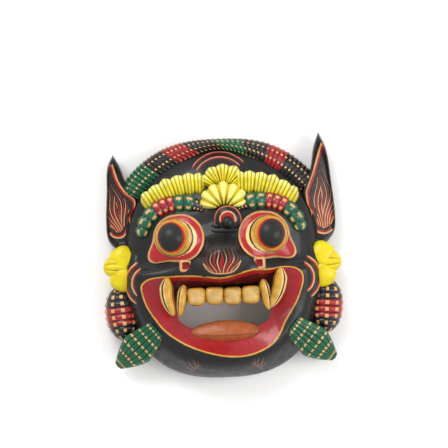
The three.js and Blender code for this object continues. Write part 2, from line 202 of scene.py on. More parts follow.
def beside_line(x: Array, y: Array, line: Array) -> tuple[Array, Array]:
    """How far points lie to the left of a line and how far along it.

    Args:
        x: The points' first coordinates.
        y: Their second ones.
        line: The line's own points, close together.

    Returns:
        The distance, negative on the right, and the share along the line.
    """
    flat_x, flat_y = np.ravel(x), np.ravel(y)
    start, step = line[:-1], np.diff(line, axis=0)
    length = np.hypot(step[:, 0], step[:, 1])
    away, along = np.empty(len(flat_x)), np.empty(len(flat_x))
    for low in range(0, len(flat_x), BATCH):
        part = slice(low, low + BATCH)
        dx, dy = flat_x[part, None] - start[:, 0], flat_y[part, None] - start[:, 1]
        share = np.clip((dx * step[:, 0] + dy * step[:, 1]) / length**2, 0, 1)
        gap = np.hypot(dx - share * step[:, 0], dy - share * step[:, 1])
        nearest = np.argmin(gap, axis=1)
        rows = np.arange(len(nearest))
        side = np.sign(step[nearest, 0] * dy[rows, nearest] - step[nearest, 1] * dx[rows, nearest])
        away[part] = gap[rows, nearest] * np.where(side == 0, 1, side)
        along[part] = (nearest + share[rows, nearest]) / len(start)
    return away.reshape(np.shape(x)), along.reshape(np.shape(x))


# Nodes and finishes


def add_node(
    tree: Tree, kind: str, inputs: dict | None = None, **settings: Any
) -> bpy.types.Node:
    """Adds a node with its settings and links.

    Args:
        tree: The material's nodes.
        kind: The node's type.
        inputs: By socket name or number, a value or the socket that is linked to it.
        **settings: The node's own properties.

    Returns:
        The new node.
    """
    node = tree.nodes.new(kind)
    for name, value in settings.items():
        setattr(node, name, value)
    for name, value in (inputs or {}).items():
        if isinstance(value, bpy.types.NodeSocket):
            tree.links.new(value, node.inputs[name])
        else:
            node.inputs[name].default_value = value
    return node


Bands = tuple[tuple[float, Hue], ...]


def set_bands(ramp: bpy.types.ColorRamp, bands: Bands, low: float, high: float, edge: float) -> None:
    """Fills a colour ramp with flat bands.

    Args:
        ramp: The ramp, which runs from low to high.
        bands: Each band's start and colour, in order.
        low: The coordinate at the ramp's start.
        high: The coordinate at its end.
        edge: How far two bands run into each other.
    """
    stops = [(low, bands[0][1])]
    for (_, before), (start, after) in zip(bands, bands[1:]):
        stops += [(start - edge / 2, before), (start + edge / 2, after)]
    shares = [((at - low) / (high - low), hue) for at, hue in stops]
    ramp.elements[0].position, ramp.elements[0].color = 0.0, shares[0][1].rgba
    ramp.elements.remove(ramp.elements[1])
    for share, hue in shares[1:]:
        ramp.elements.new(min(1.0, max(0.0, share))).color = hue.rgba


@dataclass(frozen=True)
class BrushedPaint:
    """Oil paint brushed on carved wood under a satin varnish.

    To the eye: solid colour that is uneven from stroke to stroke, low knife facets under the coat and a
    soft gloss with sharper glints from the varnish. Bands run along the first paint coordinate.

    Attributes:
        name: The material's name.
        bands: Each band's start along the first paint coordinate, and its colour.
        low: Where the bands begin.
        high: Where they end.
        edge: How far two bands run into each other.
        wobble: How far the brush strays along that coordinate.
        ends: Whether the bands stop outside 0 to 1 of the second coordinate.
        ground: The colour beyond those ends.
        roughness: Roughness of the paint.
        varnish: Weight of the varnish coat.
        uneven: How much thinner strokes darken the colour.
    """

    name: str
    bands: Bands
    low: float = 0.0
    high: float = 1.0
    edge: float = 0.25
    wobble: float = 0.25
    ends: bool = False
    ground: Hue = Hue.CHARCOAL
    roughness: float = 0.4
    varnish: float = 0.22
    uneven: float = 0.35

    def colour(self, tree: Tree, place: Any, paint: Any) -> Any:
        """Adds the nodes of the paint's pattern.

        Args:
            tree: The material's nodes.
            place: The socket of the place on the mask, in metres.
            paint: The node whose outputs are the three paint coordinates.

        Returns:
            The socket of the colour.
        """
        stray = add_node(tree, "ShaderNodeTexNoise", {"Vector": place, "Scale": 1 / (5 * MM), "Detail": 2.0})
        amount = {0: stray.outputs["Fac"], 1: 2 * self.wobble, 2: -self.wobble}
        off = add_node(tree, "ShaderNodeMath", amount, operation="MULTIPLY_ADD")
        at = add_node(tree, "ShaderNodeMath", {0: paint.outputs["X"], 1: off.outputs[0]}, operation="ADD")
        span = {"Value": at.outputs[0], "From Min": self.low, "From Max": self.high}
        share = add_node(tree, "ShaderNodeMapRange", span)
        ramp = add_node(tree, "ShaderNodeValToRGB", {"Fac": share.outputs[0]})
        set_bands(ramp.color_ramp, self.bands, self.low, self.high, self.edge)
        if not self.ends:
            return ramp.outputs["Color"]
        middle = {0: paint.outputs["Y"], 1: 0.5}
        off_middle = add_node(tree, "ShaderNodeMath", middle, operation="SUBTRACT")
        distance = add_node(tree, "ShaderNodeMath", {0: off_middle.outputs[0]}, operation="ABSOLUTE")
        inside = {"Value": distance.outputs[0], "From Min": 0.5, "From Max": 0.44}
        kept = add_node(tree, "ShaderNodeMapRange", inside)
        parts = {0: kept.outputs[0], 6: self.ground.rgba, 7: ramp.outputs["Color"]}
        return add_node(tree, "ShaderNodeMix", parts, data_type="RGBA").outputs[2]

    def make(self) -> bpy.types.Material:
        """Makes the material, with its varnish, knife facets and uneven strokes."""
        material = bpy.data.materials.new(self.name)
        material.use_nodes = True
        tree = material.node_tree
        tree.nodes.clear()
        place = add_node(tree, "ShaderNodeTexCoord").outputs["Object"]
        given = add_node(tree, "ShaderNodeAttribute", attribute_name="paint")
        paint = add_node(tree, "ShaderNodeSeparateXYZ", {0: given.outputs["Vector"]})
        colour = self.colour(tree, place, paint)
        # Thin and thick strokes of the brush, about 7 mm apart.
        coat = add_node(tree, "ShaderNodeTexNoise", {"Vector": place, "Scale": 1 / (7 * MM), "Detail": 5.0})
        thin = {"Value": coat.outputs["Fac"], "From Min": 0.42, "From Max": 0.75, "To Max": self.uneven}
        thinness = add_node(tree, "ShaderNodeMapRange", thin)
        strokes = {0: thinness.outputs[0], 6: colour, 7: linear("#8c857c")}
        uneven = add_node(tree, "ShaderNodeMix", strokes, data_type="RGBA", blend_type="MULTIPLY")
        # Knife facets about 6 mm wide and the grit of the paint at 0.9 mm.
        cells = {"Vector": place, "Scale": 1 / (6 * MM)}
        facet = add_node(tree, "ShaderNodeTexVoronoi", cells, feature="SMOOTH_F1")
        grit = add_node(tree, "ShaderNodeTexNoise", {"Vector": place, "Scale": 1 / (0.9 * MM), "Detail": 3.0})
        low = {0: grit.outputs["Fac"], 1: 0.35, 2: facet.outputs["Distance"]}
        height = add_node(tree, "ShaderNodeMath", low, operation="MULTIPLY_ADD")
        relief = {"Height": height.outputs[0], "Strength": 0.4, "Distance": 0.9 * MM}
        bump = add_node(tree, "ShaderNodeBump", relief)
        sheen = {"Value": coat.outputs["Fac"], "From Min": 0.3, "From Max": 0.7}
        sheen |= {"To Min": self.roughness - 0.1, "To Max": self.roughness + 0.12}
        rough = add_node(tree, "ShaderNodeMapRange", sheen)
        surface = {"Base Color": uneven.outputs[2], "Roughness": rough.outputs[0], "Normal": bump.outputs[0]}
        surface |= {"IOR": 1.5, "Specular IOR Level": 0.22}
        surface |= {"Coat Weight": self.varnish, "Coat Roughness": 0.13}
        shader = add_node(tree, "ShaderNodeBsdfPrincipled", surface)
        add_node(tree, "ShaderNodeOutputMaterial", {"Surface": shader.outputs[0]})
        return material


@dataclass(frozen=True)
class RidgedPaint(BrushedPaint):
    """Paint on ridged carving: patches along the ridges, dark grooves and rows of dabs.

    To the eye: the colour stays in the crests and darkens in the cuts, partly as dark paint in the cut and
    partly as painted shade; a paler colour on the crests is a painted highlight, and each dab of the brush
    sits on a crest. The second paint coordinate counts the ridges and the third the rows of dabs.

    Attributes:
        groove: The colour in the grooves, partly dark paint and partly painted shade.
        groove_width: How wide the groove's colour is, as a share of a ridge.
        groove_depth: How strong it is.
        heart: The colour in the middle of the grooves.
        heart_width: How wide that is, as a share of a ridge; none where it is 0.
        crest: The colour of the painted highlight on the crests.
        crest_highlight_strength: How strong that is.
        dab: The colour of the dabs.
        dab_along: Half a dab's length over the ridge, as a share of it; none where it is 0.
        dab_across: Half a dab's width, as a share of a row.
    """

    groove: Hue = Hue.INK
    groove_width: float = 0.2
    groove_depth: float = 0.85
    heart: Hue = Hue.LEMON
    heart_width: float = 0.0
    crest: Hue = Hue.PALE_LEMON
    crest_highlight_strength: float = 0.0
    dab: Hue = Hue.TAN
    dab_along: float = 0.0
    dab_across: float = 0.15

    def colour(self, tree: Tree, place: Any, paint: Any) -> Any:
        """Adds the patches, the grooves, the crests and the dabs, and returns their colour."""
        patches = super().colour(tree, place, paint)
        ridge = add_node(tree, "ShaderNodeMath", {0: paint.outputs["Y"], 1: 0.5}, operation="PINGPONG")
        # Darker towards the groove line: partly dark paint in the cut, partly painted shade.
        cut = {"Value": ridge.outputs[0], "From Min": 0.0, "From Max": self.groove_width}
        cut |= {"To Min": self.groove_depth, "To Max": 0.0}
        grooved = add_node(tree, "ShaderNodeMapRange", cut, interpolation_type="SMOOTHSTEP")
        parts = {0: grooved.outputs[0], 6: patches, 7: self.groove.rgba}
        painted = add_node(tree, "ShaderNodeMix", parts, data_type="RGBA").outputs[2]
        if self.heart_width > 0:
            deep = {"Value": ridge.outputs[0], "From Min": self.heart_width}
            deep |= {"From Max": 0.7 * self.heart_width}
            hearted = add_node(tree, "ShaderNodeMapRange", deep)
            parts = {0: hearted.outputs[0], 6: painted, 7: self.heart.rgba}
            painted = add_node(tree, "ShaderNodeMix", parts, data_type="RGBA").outputs[2]
        # Painted highlight: a paler colour laid along the crests.
        if self.crest_highlight_strength > 0:
            top = {"Value": ridge.outputs[0], "From Min": 0.25, "From Max": 0.5}
            top |= {"To Max": self.crest_highlight_strength}
            highlighted = add_node(tree, "ShaderNodeMapRange", top)
            parts = {0: highlighted.outputs[0], 6: painted, 7: self.crest.rgba}
            painted = add_node(tree, "ShaderNodeMix", parts, data_type="RGBA").outputs[2]
        if self.dab_along <= 0:
            return painted
        stray = add_node(tree, "ShaderNodeTexNoise", {"Vector": place, "Scale": 1 / (6 * MM)})
        amount = {0: stray.outputs["Fac"], 1: 0.16, 2: -0.08}
        off = add_node(tree, "ShaderNodeMath", amount, operation="MULTIPLY_ADD")
        row = add_node(tree, "ShaderNodeMath", {0: paint.outputs["Z"], 1: 0.5}, operation="PINGPONG")
        strayed = add_node(tree, "ShaderNodeMath", {0: row.outputs[0], 1: off.outputs[0]}, operation="ADD")
        edge = 0.5 - self.dab_across
        over = {"Value": strayed.outputs[0], "From Min": edge - 0.02, "From Max": edge + 0.02}
        across = add_node(tree, "ShaderNodeMapRange", over)
        edge = 0.5 - self.dab_along
        on_crest = {"Value": ridge.outputs[0], "From Min": edge - 0.03, "From Max": edge + 0.03}
        along = add_node(tree, "ShaderNodeMapRange", on_crest)
        both = {0: across.outputs[0], 1: along.outputs[0]}
        dabbed = add_node(tree, "ShaderNodeMath", both, operation="MULTIPLY")
        parts = {0: dabbed.outputs[0], 6: painted, 7: self.dab.rgba}
        return add_node(tree, "ShaderNodeMix", parts, data_type="RGBA").outputs[2]


@dataclass(frozen=True)
class FlamePaint(BrushedPaint):
    """Black paint with flames drawn on it in a fine brush: tan strokes with red between them.

    To the eye: strokes that are firm at the root and thin out to the tip. The bands draw the line or cup
    round the flames, the second paint coordinate counts the strokes and the third is the height.

    Attributes:
        stroke: Colour of the strokes.
        stroke_width: Half a stroke's width at its root, as a share of the space between two.
        fill: Colour between the strokes.
        fill_width: Half the width of that colour at its root.
        inside_from: The first coordinate from which the flames show.
    """

    stroke: Hue = Hue.TAN
    stroke_width: float = 0.16
    fill: Hue = Hue.CRIMSON
    fill_width: float = 0.27
    inside_from: float = 0.0

    def colour(self, tree: Tree, place: Any, paint: Any) -> Any:
        """Adds the outline, the fill and the strokes, and returns their colour."""
        painted = super().colour(tree, place, paint)
        inside = {"Value": paint.outputs["X"], "From Min": self.inside_from}
        inside |= {"From Max": self.inside_from + 0.4}
        within = add_node(tree, "ShaderNodeMapRange", inside).outputs[0]
        above = {"Value": paint.outputs["Z"], "From Min": 0.0, "From Max": 0.02}
        rooted = add_node(tree, "ShaderNodeMapRange", above).outputs[0]
        shown = add_node(tree, "ShaderNodeMath", {0: within, 1: rooted}, operation="MULTIPLY").outputs[0]
        count = {0: paint.outputs["Y"], 1: 0.5}
        between = add_node(tree, "ShaderNodeMath", count, operation="PINGPONG").outputs[0]
        beside = add_node(tree, "ShaderNodeMath", {0: 0.5, 1: between}, operation="SUBTRACT").outputs[0]
        drawing = ((self.fill, self.fill_width, between), (self.stroke, self.stroke_width, beside))
        for hue, width, distance in drawing:
            taper = {"Value": paint.outputs["Z"], "From Min": 0.1, "From Max": 1.0}
            taper |= {"To Min": width, "To Max": 0.0}
            reach = add_node(tree, "ShaderNodeMapRange", taper).outputs[0]
            left = add_node(tree, "ShaderNodeMath", {0: reach, 1: distance}, operation="SUBTRACT").outputs[0]
            drawn = {"Value": left, "From Min": 0.0, "From Max": 0.05}
            mark = add_node(tree, "ShaderNodeMapRange", drawn).outputs[0]
            kept = add_node(tree, "ShaderNodeMath", {0: mark, 1: shown}, operation="MULTIPLY").outputs[0]
            parts = {0: kept, 6: painted, 7: hue.rgba}
            painted = add_node(tree, "ShaderNodeMix", parts, data_type="RGBA").outputs[2]
        return painted


@dataclass(frozen=True)
class GougedWood(BrushedPaint):
    """Light wood left bare behind the mask, hollowed with a gouge.

    To the eye: dull pale brown with darker grain along the mask's height, and rows of shallow scoops.
    """

    grain: Hue = Hue.WOOD_GRAIN

    def colour(self, tree: Tree, place: Any, paint: Any) -> Any:
        """Adds the grain, about 2.5 mm wide, over the bare wood, and returns their colour."""
        stretched = add_node(tree, "ShaderNodeMapping", {"Vector": place, "Scale": (1.0, 0.08, 1.0)})
        fibres = {"Vector": stretched.outputs[0], "Scale": 1 / (2.5 * MM), "Detail": 6.0, "Distortion": 0.6}
        noise = add_node(tree, "ShaderNodeTexNoise", fibres)
        dark = {"Value": noise.outputs["Fac"], "From Min": 0.45, "From Max": 0.7}
        share = add_node(tree, "ShaderNodeMapRange", dark)
        parts = {0: share.outputs[0], 6: self.bands[0][1].rgba, 7: self.grain.rgba}
        return add_node(tree, "ShaderNodeMix", parts, data_type="RGBA").outputs[2]


class Finishes:
    """Every finish of the mask, each made into a material once."""

    def __init__(self) -> None:
        """Starts with none made."""
        self.made: dict[str, bpy.types.Material] = {}

    def material(self, finish: BrushedPaint) -> bpy.types.Material:
        """The finish's material, made when it is first asked for."""
        if finish.name not in self.made:
            self.made[finish.name] = finish.make()
        return self.made[finish.name]


FINISHES = Finishes()

BLACK = BrushedPaint("charcoal_oil_paint", ((0.0, Hue.CHARCOAL),))
BARE = GougedWood("bare_albesia_wood", ((0.0, Hue.BARE_WOOD),), roughness=0.7, varnish=0.0)
GUM = BrushedPaint("red_oil_paint_of_nostrils", ((0.0, Hue.SCARLET),))
HAIR_PAINT = RidgedPaint(
    "hair_oil_paint",
    (
        (0.0, Hue.CHARCOAL), (0.165, Hue.CRIMSON), (0.25, Hue.CHARCOAL), (0.362, Hue.EMERALD),
        (0.485, Hue.CHARCOAL), (0.615, Hue.CRIMSON), (0.72, Hue.CHARCOAL), (0.83, Hue.EMERALD),
    ),
    edge=0.004, wobble=0.004, groove_width=0.24, groove_depth=0.8, dab_along=0.22, dab_across=0.1,
)
BROW_PAINT = RidgedPaint(
    "brow_oil_paint",
    ((0.0, Hue.EMERALD), (54.0, Hue.CRIMSON), (88.0, Hue.EMERALD), (119.0, Hue.CHARCOAL)),
    high=140.0, edge=0.8, wobble=0.8, groove_width=0.14, groove_depth=0.9,
    dab_along=0.24, dab_across=0.16, varnish=0.6,
)
KNOT_PAINT = RidgedPaint(
    "hair_knot_oil_paint",
    ((0.0, Hue.CHARCOAL), (0.38, Hue.CRIMSON), (0.7, Hue.CHARCOAL)),
    edge=0.02, wobble=0.015, dab_along=0.26, dab_across=0.17, varnish=0.5,
)
TUFT_PAINT = RidgedPaint(
    "green_leaf_oil_paint", ((0.0, Hue.EMERALD),),
    groove_width=0.16, groove_depth=0.95, dab_along=0.3, dab_across=0.1,
)
# Petals: lemon with olive in the cuts; olive along the root edge is painted shade, and pale lemon along the
# upper edge and on the crests is a painted highlight.
PETAL_PAINT = RidgedPaint(
    "lemon_oil_paint_on_petals",
    ((0.0, Hue.OLIVE), (0.12, Hue.LEMON), (0.8, Hue.PALE_LEMON)),
    edge=0.2, wobble=0.12, groove=Hue.OLIVE, groove_width=0.27, crest_highlight_strength=0.3, uneven=0.4,
)
# The lower fan: pale lemon with olive-edged lemon cuts; the strong pale colour on its crests is a painted
# highlight.
FAN_PAINT = RidgedPaint(
    "pale_lemon_oil_paint_on_fan",
    ((0.0, Hue.LEMON), (0.3, Hue.PALE_LEMON)),
    edge=0.3, wobble=0.1, groove=Hue.OLIVE, groove_width=0.28, groove_depth=0.9,
    heart_width=0.13, crest_highlight_strength=0.7, uneven=0.2,
)
FLOWER_PAINT = RidgedPaint(
    "lemon_oil_paint_on_flowers",
    ((0.0, Hue.LEMON),), groove=Hue.BROWN, groove_width=0.12, groove_depth=0.8, uneven=0.3,
)
EYE_PAINT = BrushedPaint(
    "eyeball_enamel",
    (
        (-1.0, Hue.PUPIL), (0.0, Hue.SCARLET), (0.18, Hue.ORANGE), (0.3, Hue.OCHRE), (0.84, Hue.INK),
        (0.98, Hue.CREAM),
    ),
    low=-1.0, high=1.5, edge=0.05, wobble=0.03, roughness=0.5, varnish=0.12,
)
LID_PAINT = BrushedPaint(
    "eyelid_oil_paint",
    ((-1.0, Hue.TAN), (1.4, Hue.SCARLET), (6.4, Hue.CREAM), (8.2, Hue.INK), (17.0, Hue.OCHRE)),
    low=-1.0, high=70.0, edge=0.3, wobble=0.3, varnish=0.4,
)
ARC_PAINT = BrushedPaint(
    "brushed_arcs_on_forehead",
    (
        (20.0, Hue.CHARCOAL), (22.6, Hue.MAROON), (24.2, Hue.ROSE), (25.4, Hue.CHARCOAL),
        (27.4, Hue.MAROON), (29.0, Hue.ROSE), (30.0, Hue.CHARCOAL),
    ),
    low=20.0, high=34.0, edge=0.3, wobble=0.4, ends=True,
)
CHEEK_PAINT = BrushedPaint(
    "brushed_arcs_on_cheeks",
    (
        (8.0, Hue.CHARCOAL), (13.6, Hue.CRIMSON), (14.9, Hue.TAN), (16.1, Hue.CHARCOAL),
        (19.9, Hue.CRIMSON), (21.2, Hue.TAN), (22.4, Hue.CHARCOAL),
    ),
    low=8.0, high=30.0, edge=0.3, wobble=0.4, ends=True,
)
THIRD_EYE_PAINT = BrushedPaint(
    "brushed_arcs_on_third_eye",
    (
        (0.0, Hue.CRIMSON), (6.6, Hue.TAN), (7.8, Hue.CHARCOAL), (10.6, Hue.MAROON), (11.6, Hue.ROSE),
        (12.6, Hue.CHARCOAL),
    ),
    high=18.0, edge=0.3, wobble=0.3, ends=True,
)
LIP_PAINT = BrushedPaint(
    "brushed_lip_line", ((-8.0, Hue.CHARCOAL), (-0.6, Hue.OCHRE)), low=-8.0, high=4.0, wobble=0.25,
)
# Mouth: crimson with an ochre edge at the lip line; the maroon band is painted shade under the upper lip and
# the ink band is painted shade behind the teeth.
MOUTH_PAINT = BrushedPaint(
    "crimson_oil_paint_of_mouth",
    ((0.0, Hue.OCHRE), (0.9, Hue.CRIMSON), (56.0, Hue.MAROON), (125.0, Hue.INK)),
    high=150.0, edge=0.4, wobble=0.3, roughness=0.34, varnish=0.55,
)
NOSE_PAINT = FlamePaint(
    "brushed_flame_on_nose",
    ((-4.0, Hue.CHARCOAL), (0.0, Hue.TAN), (1.3, Hue.CHARCOAL)),
    low=-4.0, high=20.0, wobble=0.15, inside_from=1.0,
)
EAR_PAINT = FlamePaint(
    "brushed_flame_on_ears",
    (
        (-12.0, Hue.CHARCOAL), (-0.7, Hue.TAN), (0.7, Hue.CRIMSON), (2.4, Hue.CHARCOAL),
        (50.0, Hue.TAN), (51.0, Hue.CRIMSON), (52.0, Hue.CHARCOAL),
    ),
    low=-12.0, high=62.0, wobble=0.2, inside_from=51.5, stroke_width=0.2, fill_width=0.22,
)
CHIN_PAINT = FlamePaint(
    "brushed_flicks_on_chin", ((-12.0, Hue.CHARCOAL),), low=-12.0, high=4.0, inside_from=-3.0,
    stroke=Hue.ROSE, stroke_width=0.12, fill=Hue.CHARCOAL,
)
NOSTRIL_PAINT = BrushedPaint("brushed_nostril_frame", ((0.0, Hue.TAN),))
TOOTH_PAINT = BrushedPaint(
    "ochre_oil_paint_of_teeth",
    ((0.0, Hue.IVORY), (0.66, Hue.OCHRE), (0.9, Hue.BROWN)), high=1.3, edge=0.3, wobble=0.12, uneven=0.5,
)
TUSK_PAINT = BrushedPaint(
    "striped_tusk_oil_paint",
    (
        (-3.0, Hue.OCHRE), (-1.15, Hue.CREAM), (-0.8, Hue.INK), (-0.5, Hue.CREAM), (-0.3, Hue.OCHRE),
        (0.95, Hue.INK), (1.15, Hue.OCHRE),
    ),
    low=-3.2, high=3.2, edge=0.06, wobble=0.06, uneven=0.5,
)
# Tongue: clay with a thin dark clay line along it; its downward flank past that line is dark clay as painted
# shade.
TONGUE_PAINT = BrushedPaint(
    "clay_oil_paint_of_tongue",
    ((-2.0, Hue.CLAY), (0.3, Hue.DARK_CLAY), (0.42, Hue.CLAY), (1.1, Hue.DARK_CLAY)),
    low=-2.0, high=2.0, edge=0.12, wobble=0.05, uneven=0.45,
)


# Forms


def select_only(*objects: Form) -> None:
    """Selects these objects alone and makes the first one active."""
    bpy.ops.object.select_all(action="DESELECT")
    for thing in objects:
        thing.select_set(True)
    bpy.context.view_layer.objects.active = objects[0]


def corners_of(mesh: bpy.types.Mesh) -> tuple[Array, Array]:
    """Each face corner's vertex and face."""
    vertex = np.empty(len(mesh.loops), np.int32)
    mesh.loops.foreach_get("vertex_index", vertex)
    totals = np.empty(len(mesh.polygons), np.int32)
    mesh.polygons.foreach_get("loop_total", totals)
    return vertex, np.repeat(np.arange(len(totals)), totals)


def set_paint(mesh: bpy.types.Mesh, values: Array) -> None:
    """Keeps three paint coordinates at each face corner."""
    layer = mesh.attributes.get("paint") or mesh.attributes.new("paint", "FLOAT_VECTOR", "CORNER")
    layer.data.foreach_set("vector", np.ascontiguousarray(values, np.float32).ravel())


def points_of(mesh: bpy.types.Mesh) -> Array:
    """A mesh's vertices in millimetres."""
    flat = np.empty(3 * len(mesh.vertices), np.float32)
    mesh.vertices.foreach_get("co", flat)
    return flat.reshape(-1, 3).astype(float) / MM


def set_points(mesh: bpy.types.Mesh, points: Array) -> None:
    """Moves a mesh's vertices, given in millimetres."""
    mesh.vertices.foreach_set("co", np.ascontiguousarray(points * MM, np.float32).ravel())
    mesh.update()


def face_outwards(form: Form) -> None:
    """Turns a closed form's faces outwards."""
    mesh = form.data
    points = points_of(mesh)
    vertex, face = corners_of(mesh)
    first = np.searchsorted(face, np.arange(len(mesh.polygons)))
    following = np.roll(np.arange(len(vertex)), -1)
    last = np.append(first[1:], len(vertex)) - 1
    following[last] = first
    root = points[vertex[first]][face]
    volume = np.einsum("ij,ij->", root, np.cross(points[vertex], points[vertex[following]]))
    if volume < 0:
        mesh.flip_normals()


def shaped_ball(
    name: str, segments: int, rings: int, finish: BrushedPaint, place: Place, paint: Paint
) -> Form:
    """A ball whose rings and segments are moved to a carved form.

    Args:
        name: The form's name.
        segments: Faces round the ball.
        rings: Faces from pole to pole.
        finish: What it is painted with.
        place: Gives the places, in millimetres, by the share from pole to pole and the turn round it.
        paint: Gives the paint coordinates by share, turn and place.

    Returns:
        The closed form.
    """
    bpy.ops.object.select_all(action="DESELECT")
    bpy.ops.mesh.primitive_uv_sphere_add(segments=segments, ring_count=rings, radius=1.0, calc_uvs=False)
    form = bpy.context.active_object
    form.name = name
    mesh = form.data
    ball = points_of(mesh) * MM
    share = np.arccos(np.clip(ball[:, 2], -1, 1)) / np.pi
    turn = np.arctan2(ball[:, 0], ball[:, 1])
    points = place(share, turn)
    vertex, face = corners_of(mesh)
    pole = ((share < POLE) | (share > 1 - POLE))[vertex]
    first = np.zeros(len(mesh.polygons))
    first[face[~pole]] = turn[vertex[~pole]]
    about = first[face] + (turn[vertex] - first[face] + np.pi) % (2 * np.pi) - np.pi
    total = np.bincount(face[~pole], about[~pole], len(first))
    mean = total / np.bincount(face[~pole], minlength=len(first))
    about[pole] = mean[face[pole]]
    set_points(mesh, points)
    set_paint(mesh, paint(share[vertex], about, points[vertex]))
    mesh.materials.append(FINISHES.material(finish))
    face_outwards(form)
    return form


@dataclass
class Roll:
    """A roll along a path in the face's plane, closed to a point at both ends.

    Attributes:
        path: Gives the places along it by share.
        reach: Gives its half width and half height by share and turn, the turn 0 at its top.
    """

    path: Callable[[Array], Array]
    reach: Callable[[Array, Array], tuple[Any, Any]]

    def place(self, share: Array, turn: Array) -> Array:
        """Places on the roll's skin, by share along it and turn round it."""
        ahead = self.path(np.minimum(1, share + 1e-3)) - self.path(np.maximum(0, share - 1e-3))
        length = np.hypot(ahead[:, 0], ahead[:, 1])
        width, height = self.reach(share, turn)
        open_part = (share > POLE) & (share < 1 - POLE)
        across = np.where(open_part, width * np.sin(turn), 0)
        up = np.where(open_part, height * np.cos(turn), 0)
        return self.path(share) + stacked(-across * ahead[:, 1] / length, across * ahead[:, 0] / length, up)


def joined(forms: list[Form]) -> Form:
    """Several forms that don't touch, as one object."""
    select_only(*forms)
    if len(forms) > 1:
        bpy.ops.object.join()
    return forms[0]


def on_both_sides(make: Callable[[Side], Form]) -> Form:
    """The left and the right form of a pair, as one object."""
    return joined([make(side) for side in Side])


def carve(block: Form, tool: Form, operation: str) -> None:
    """Joins a form to the block or cuts it away.

    Args:
        block: What is carved.
        tool: The form, which is used up.
        operation: "UNION" or "DIFFERENCE".
    """
    select_only(block)
    step = block.modifiers.new(tool.name, "BOOLEAN")
    step.operation, step.solver, step.object, step.material_mode = operation, "MANIFOLD", tool, "TRANSFER"
    bpy.ops.object.modifier_apply(modifier=step.name)
    LOG.info("%s %s: %d faces", operation.lower(), tool.name, len(block.data.polygons))
    bpy.data.objects.remove(tool, do_unlink=True)


# The face


@dataclass(frozen=True)
class Mound:
    """A broad swelling of the face, flat to a share of its size and gone at another."""

    x: float
    y: float
    half_width: float
    half_height: float
    height: float
    flat_to: float
    gone_at: float

    def lift(self, x: Array, y: Array) -> Array:
        """How far it lifts the face."""
        share = np.hypot((x - self.x) / self.half_width, (y - self.y) / self.half_height)
        return self.height * (1 - smoothstep(share, self.flat_to, self.gone_at))


@dataclass(frozen=True)
class Lips:
    """The grin: the lip line, the hole behind it and the rounded roll round it."""

    centre_y: float = -22.0
    half_width: float = 75.0
    below: float = 70.0
    above: float = 6.0
    hole_y: float = -51.0
    hole_half_width: float = 43.0
    hole_below: float = 16.0
    hole_above: float = 15.0
    hole_squareness: float = 0.72
    floor: float = 42.0
    flare: float = 1.5
    corner: float = 45.0
    top: float = 29.0
    bottom: float = 14.0
    radius: float = 17.0
    blend: float = 8.0
    corners: float = 14.0
    line: tuple[tuple[float, float], ...] = (
        (73.5, -20.0), (68.0, -13.5), (57.0, -11.5), (41.0, -13.2), (29.0, -12.7), (16.0, -15.5), (0.0, -19.3),
        (-16.0, -17.9), (-32.0, -16.5), (-48.0, -16.7), (-64.0, -17.5), (-72.5, -20.8), (-75.5, -27.0),
        (-71.5, -42.0), (-64.0, -55.0), (-54.0, -67.5), (-38.5, -78.5), (-20.0, -86.5), (0.0, -91.5),
        (17.0, -92.0), (31.0, -88.5), (43.5, -81.5), (50.5, -72.5), (55.5, -62.0), (66.0, -45.0), (71.5, -32.0),
    )

    def distance(self, dx: Array, dy: Array) -> Array:
        """How far the grin's plain oval is from the hole's middle, in a direction of length one."""
        drop = self.hole_y - self.centre_y
        a = (dx / self.half_width) ** 2 + (dy / self.below) ** 2
        b = 2 * drop * dy / self.below**2
        c = (drop / self.below) ** 2 - 1
        oval = (-b + np.sqrt(b * b - 4 * a * c)) / (2 * a)
        up = np.maximum(dy, 1e-6)
        return np.where(dy > 0, -soft_max(-oval, (drop - self.above) / up, self.corners * up), oval)

    def height(self, x: Array, y: Array) -> Array:
        """Height of the rounded lips, which run into an even slope outside the lip line."""
        dx, dy = x, y - self.hole_y
        away = np.maximum(1e-6, np.hypot(dx, dy))
        up = dy / away
        crest = self.corner + np.where(up > 0, self.top, self.bottom) * up**2
        beyond = np.maximum(0, away - self.distance(dx / away, dy / away))
        steepest = 0.8 * self.radius
        roll = crest - self.radius + np.sqrt(self.radius**2 - np.minimum(beyond, steepest) ** 2)
        return roll - np.maximum(0, beyond - steepest) * 4 / 3

    def lip_curve(self) -> Array:
        """The lip line's points, all the way round."""
        return spline(list(self.line), 420, closed=True)

    def lip_point(self, angle: Array) -> tuple[Array, Array]:
        """The lip line's point in a direction from the hole's middle."""
        curve = self.lip_curve()
        about = np.arctan2(curve[:, 1] - self.hole_y, curve[:, 0])
        reach = np.hypot(curve[:, 1] - self.hole_y, curve[:, 0])
        order = np.argsort(about)
        away = np.interp(angle, about[order], reach[order], period=2 * np.pi)
        return away * np.cos(angle), self.hole_y + away * np.sin(angle)

    def hole_point(self, angle: Array) -> tuple[Array, Array]:
        """The hole's edge, by the turn round it."""
        side, rise = np.cos(angle), np.sin(angle)
        side = np.sign(side) * np.abs(side) ** self.hole_squareness
        rise = np.sign(rise) * np.abs(rise) ** self.hole_squareness
        reach = np.where(rise > 0, self.hole_above, self.hole_below)
        return self.hole_half_width * side, self.hole_y + reach * rise


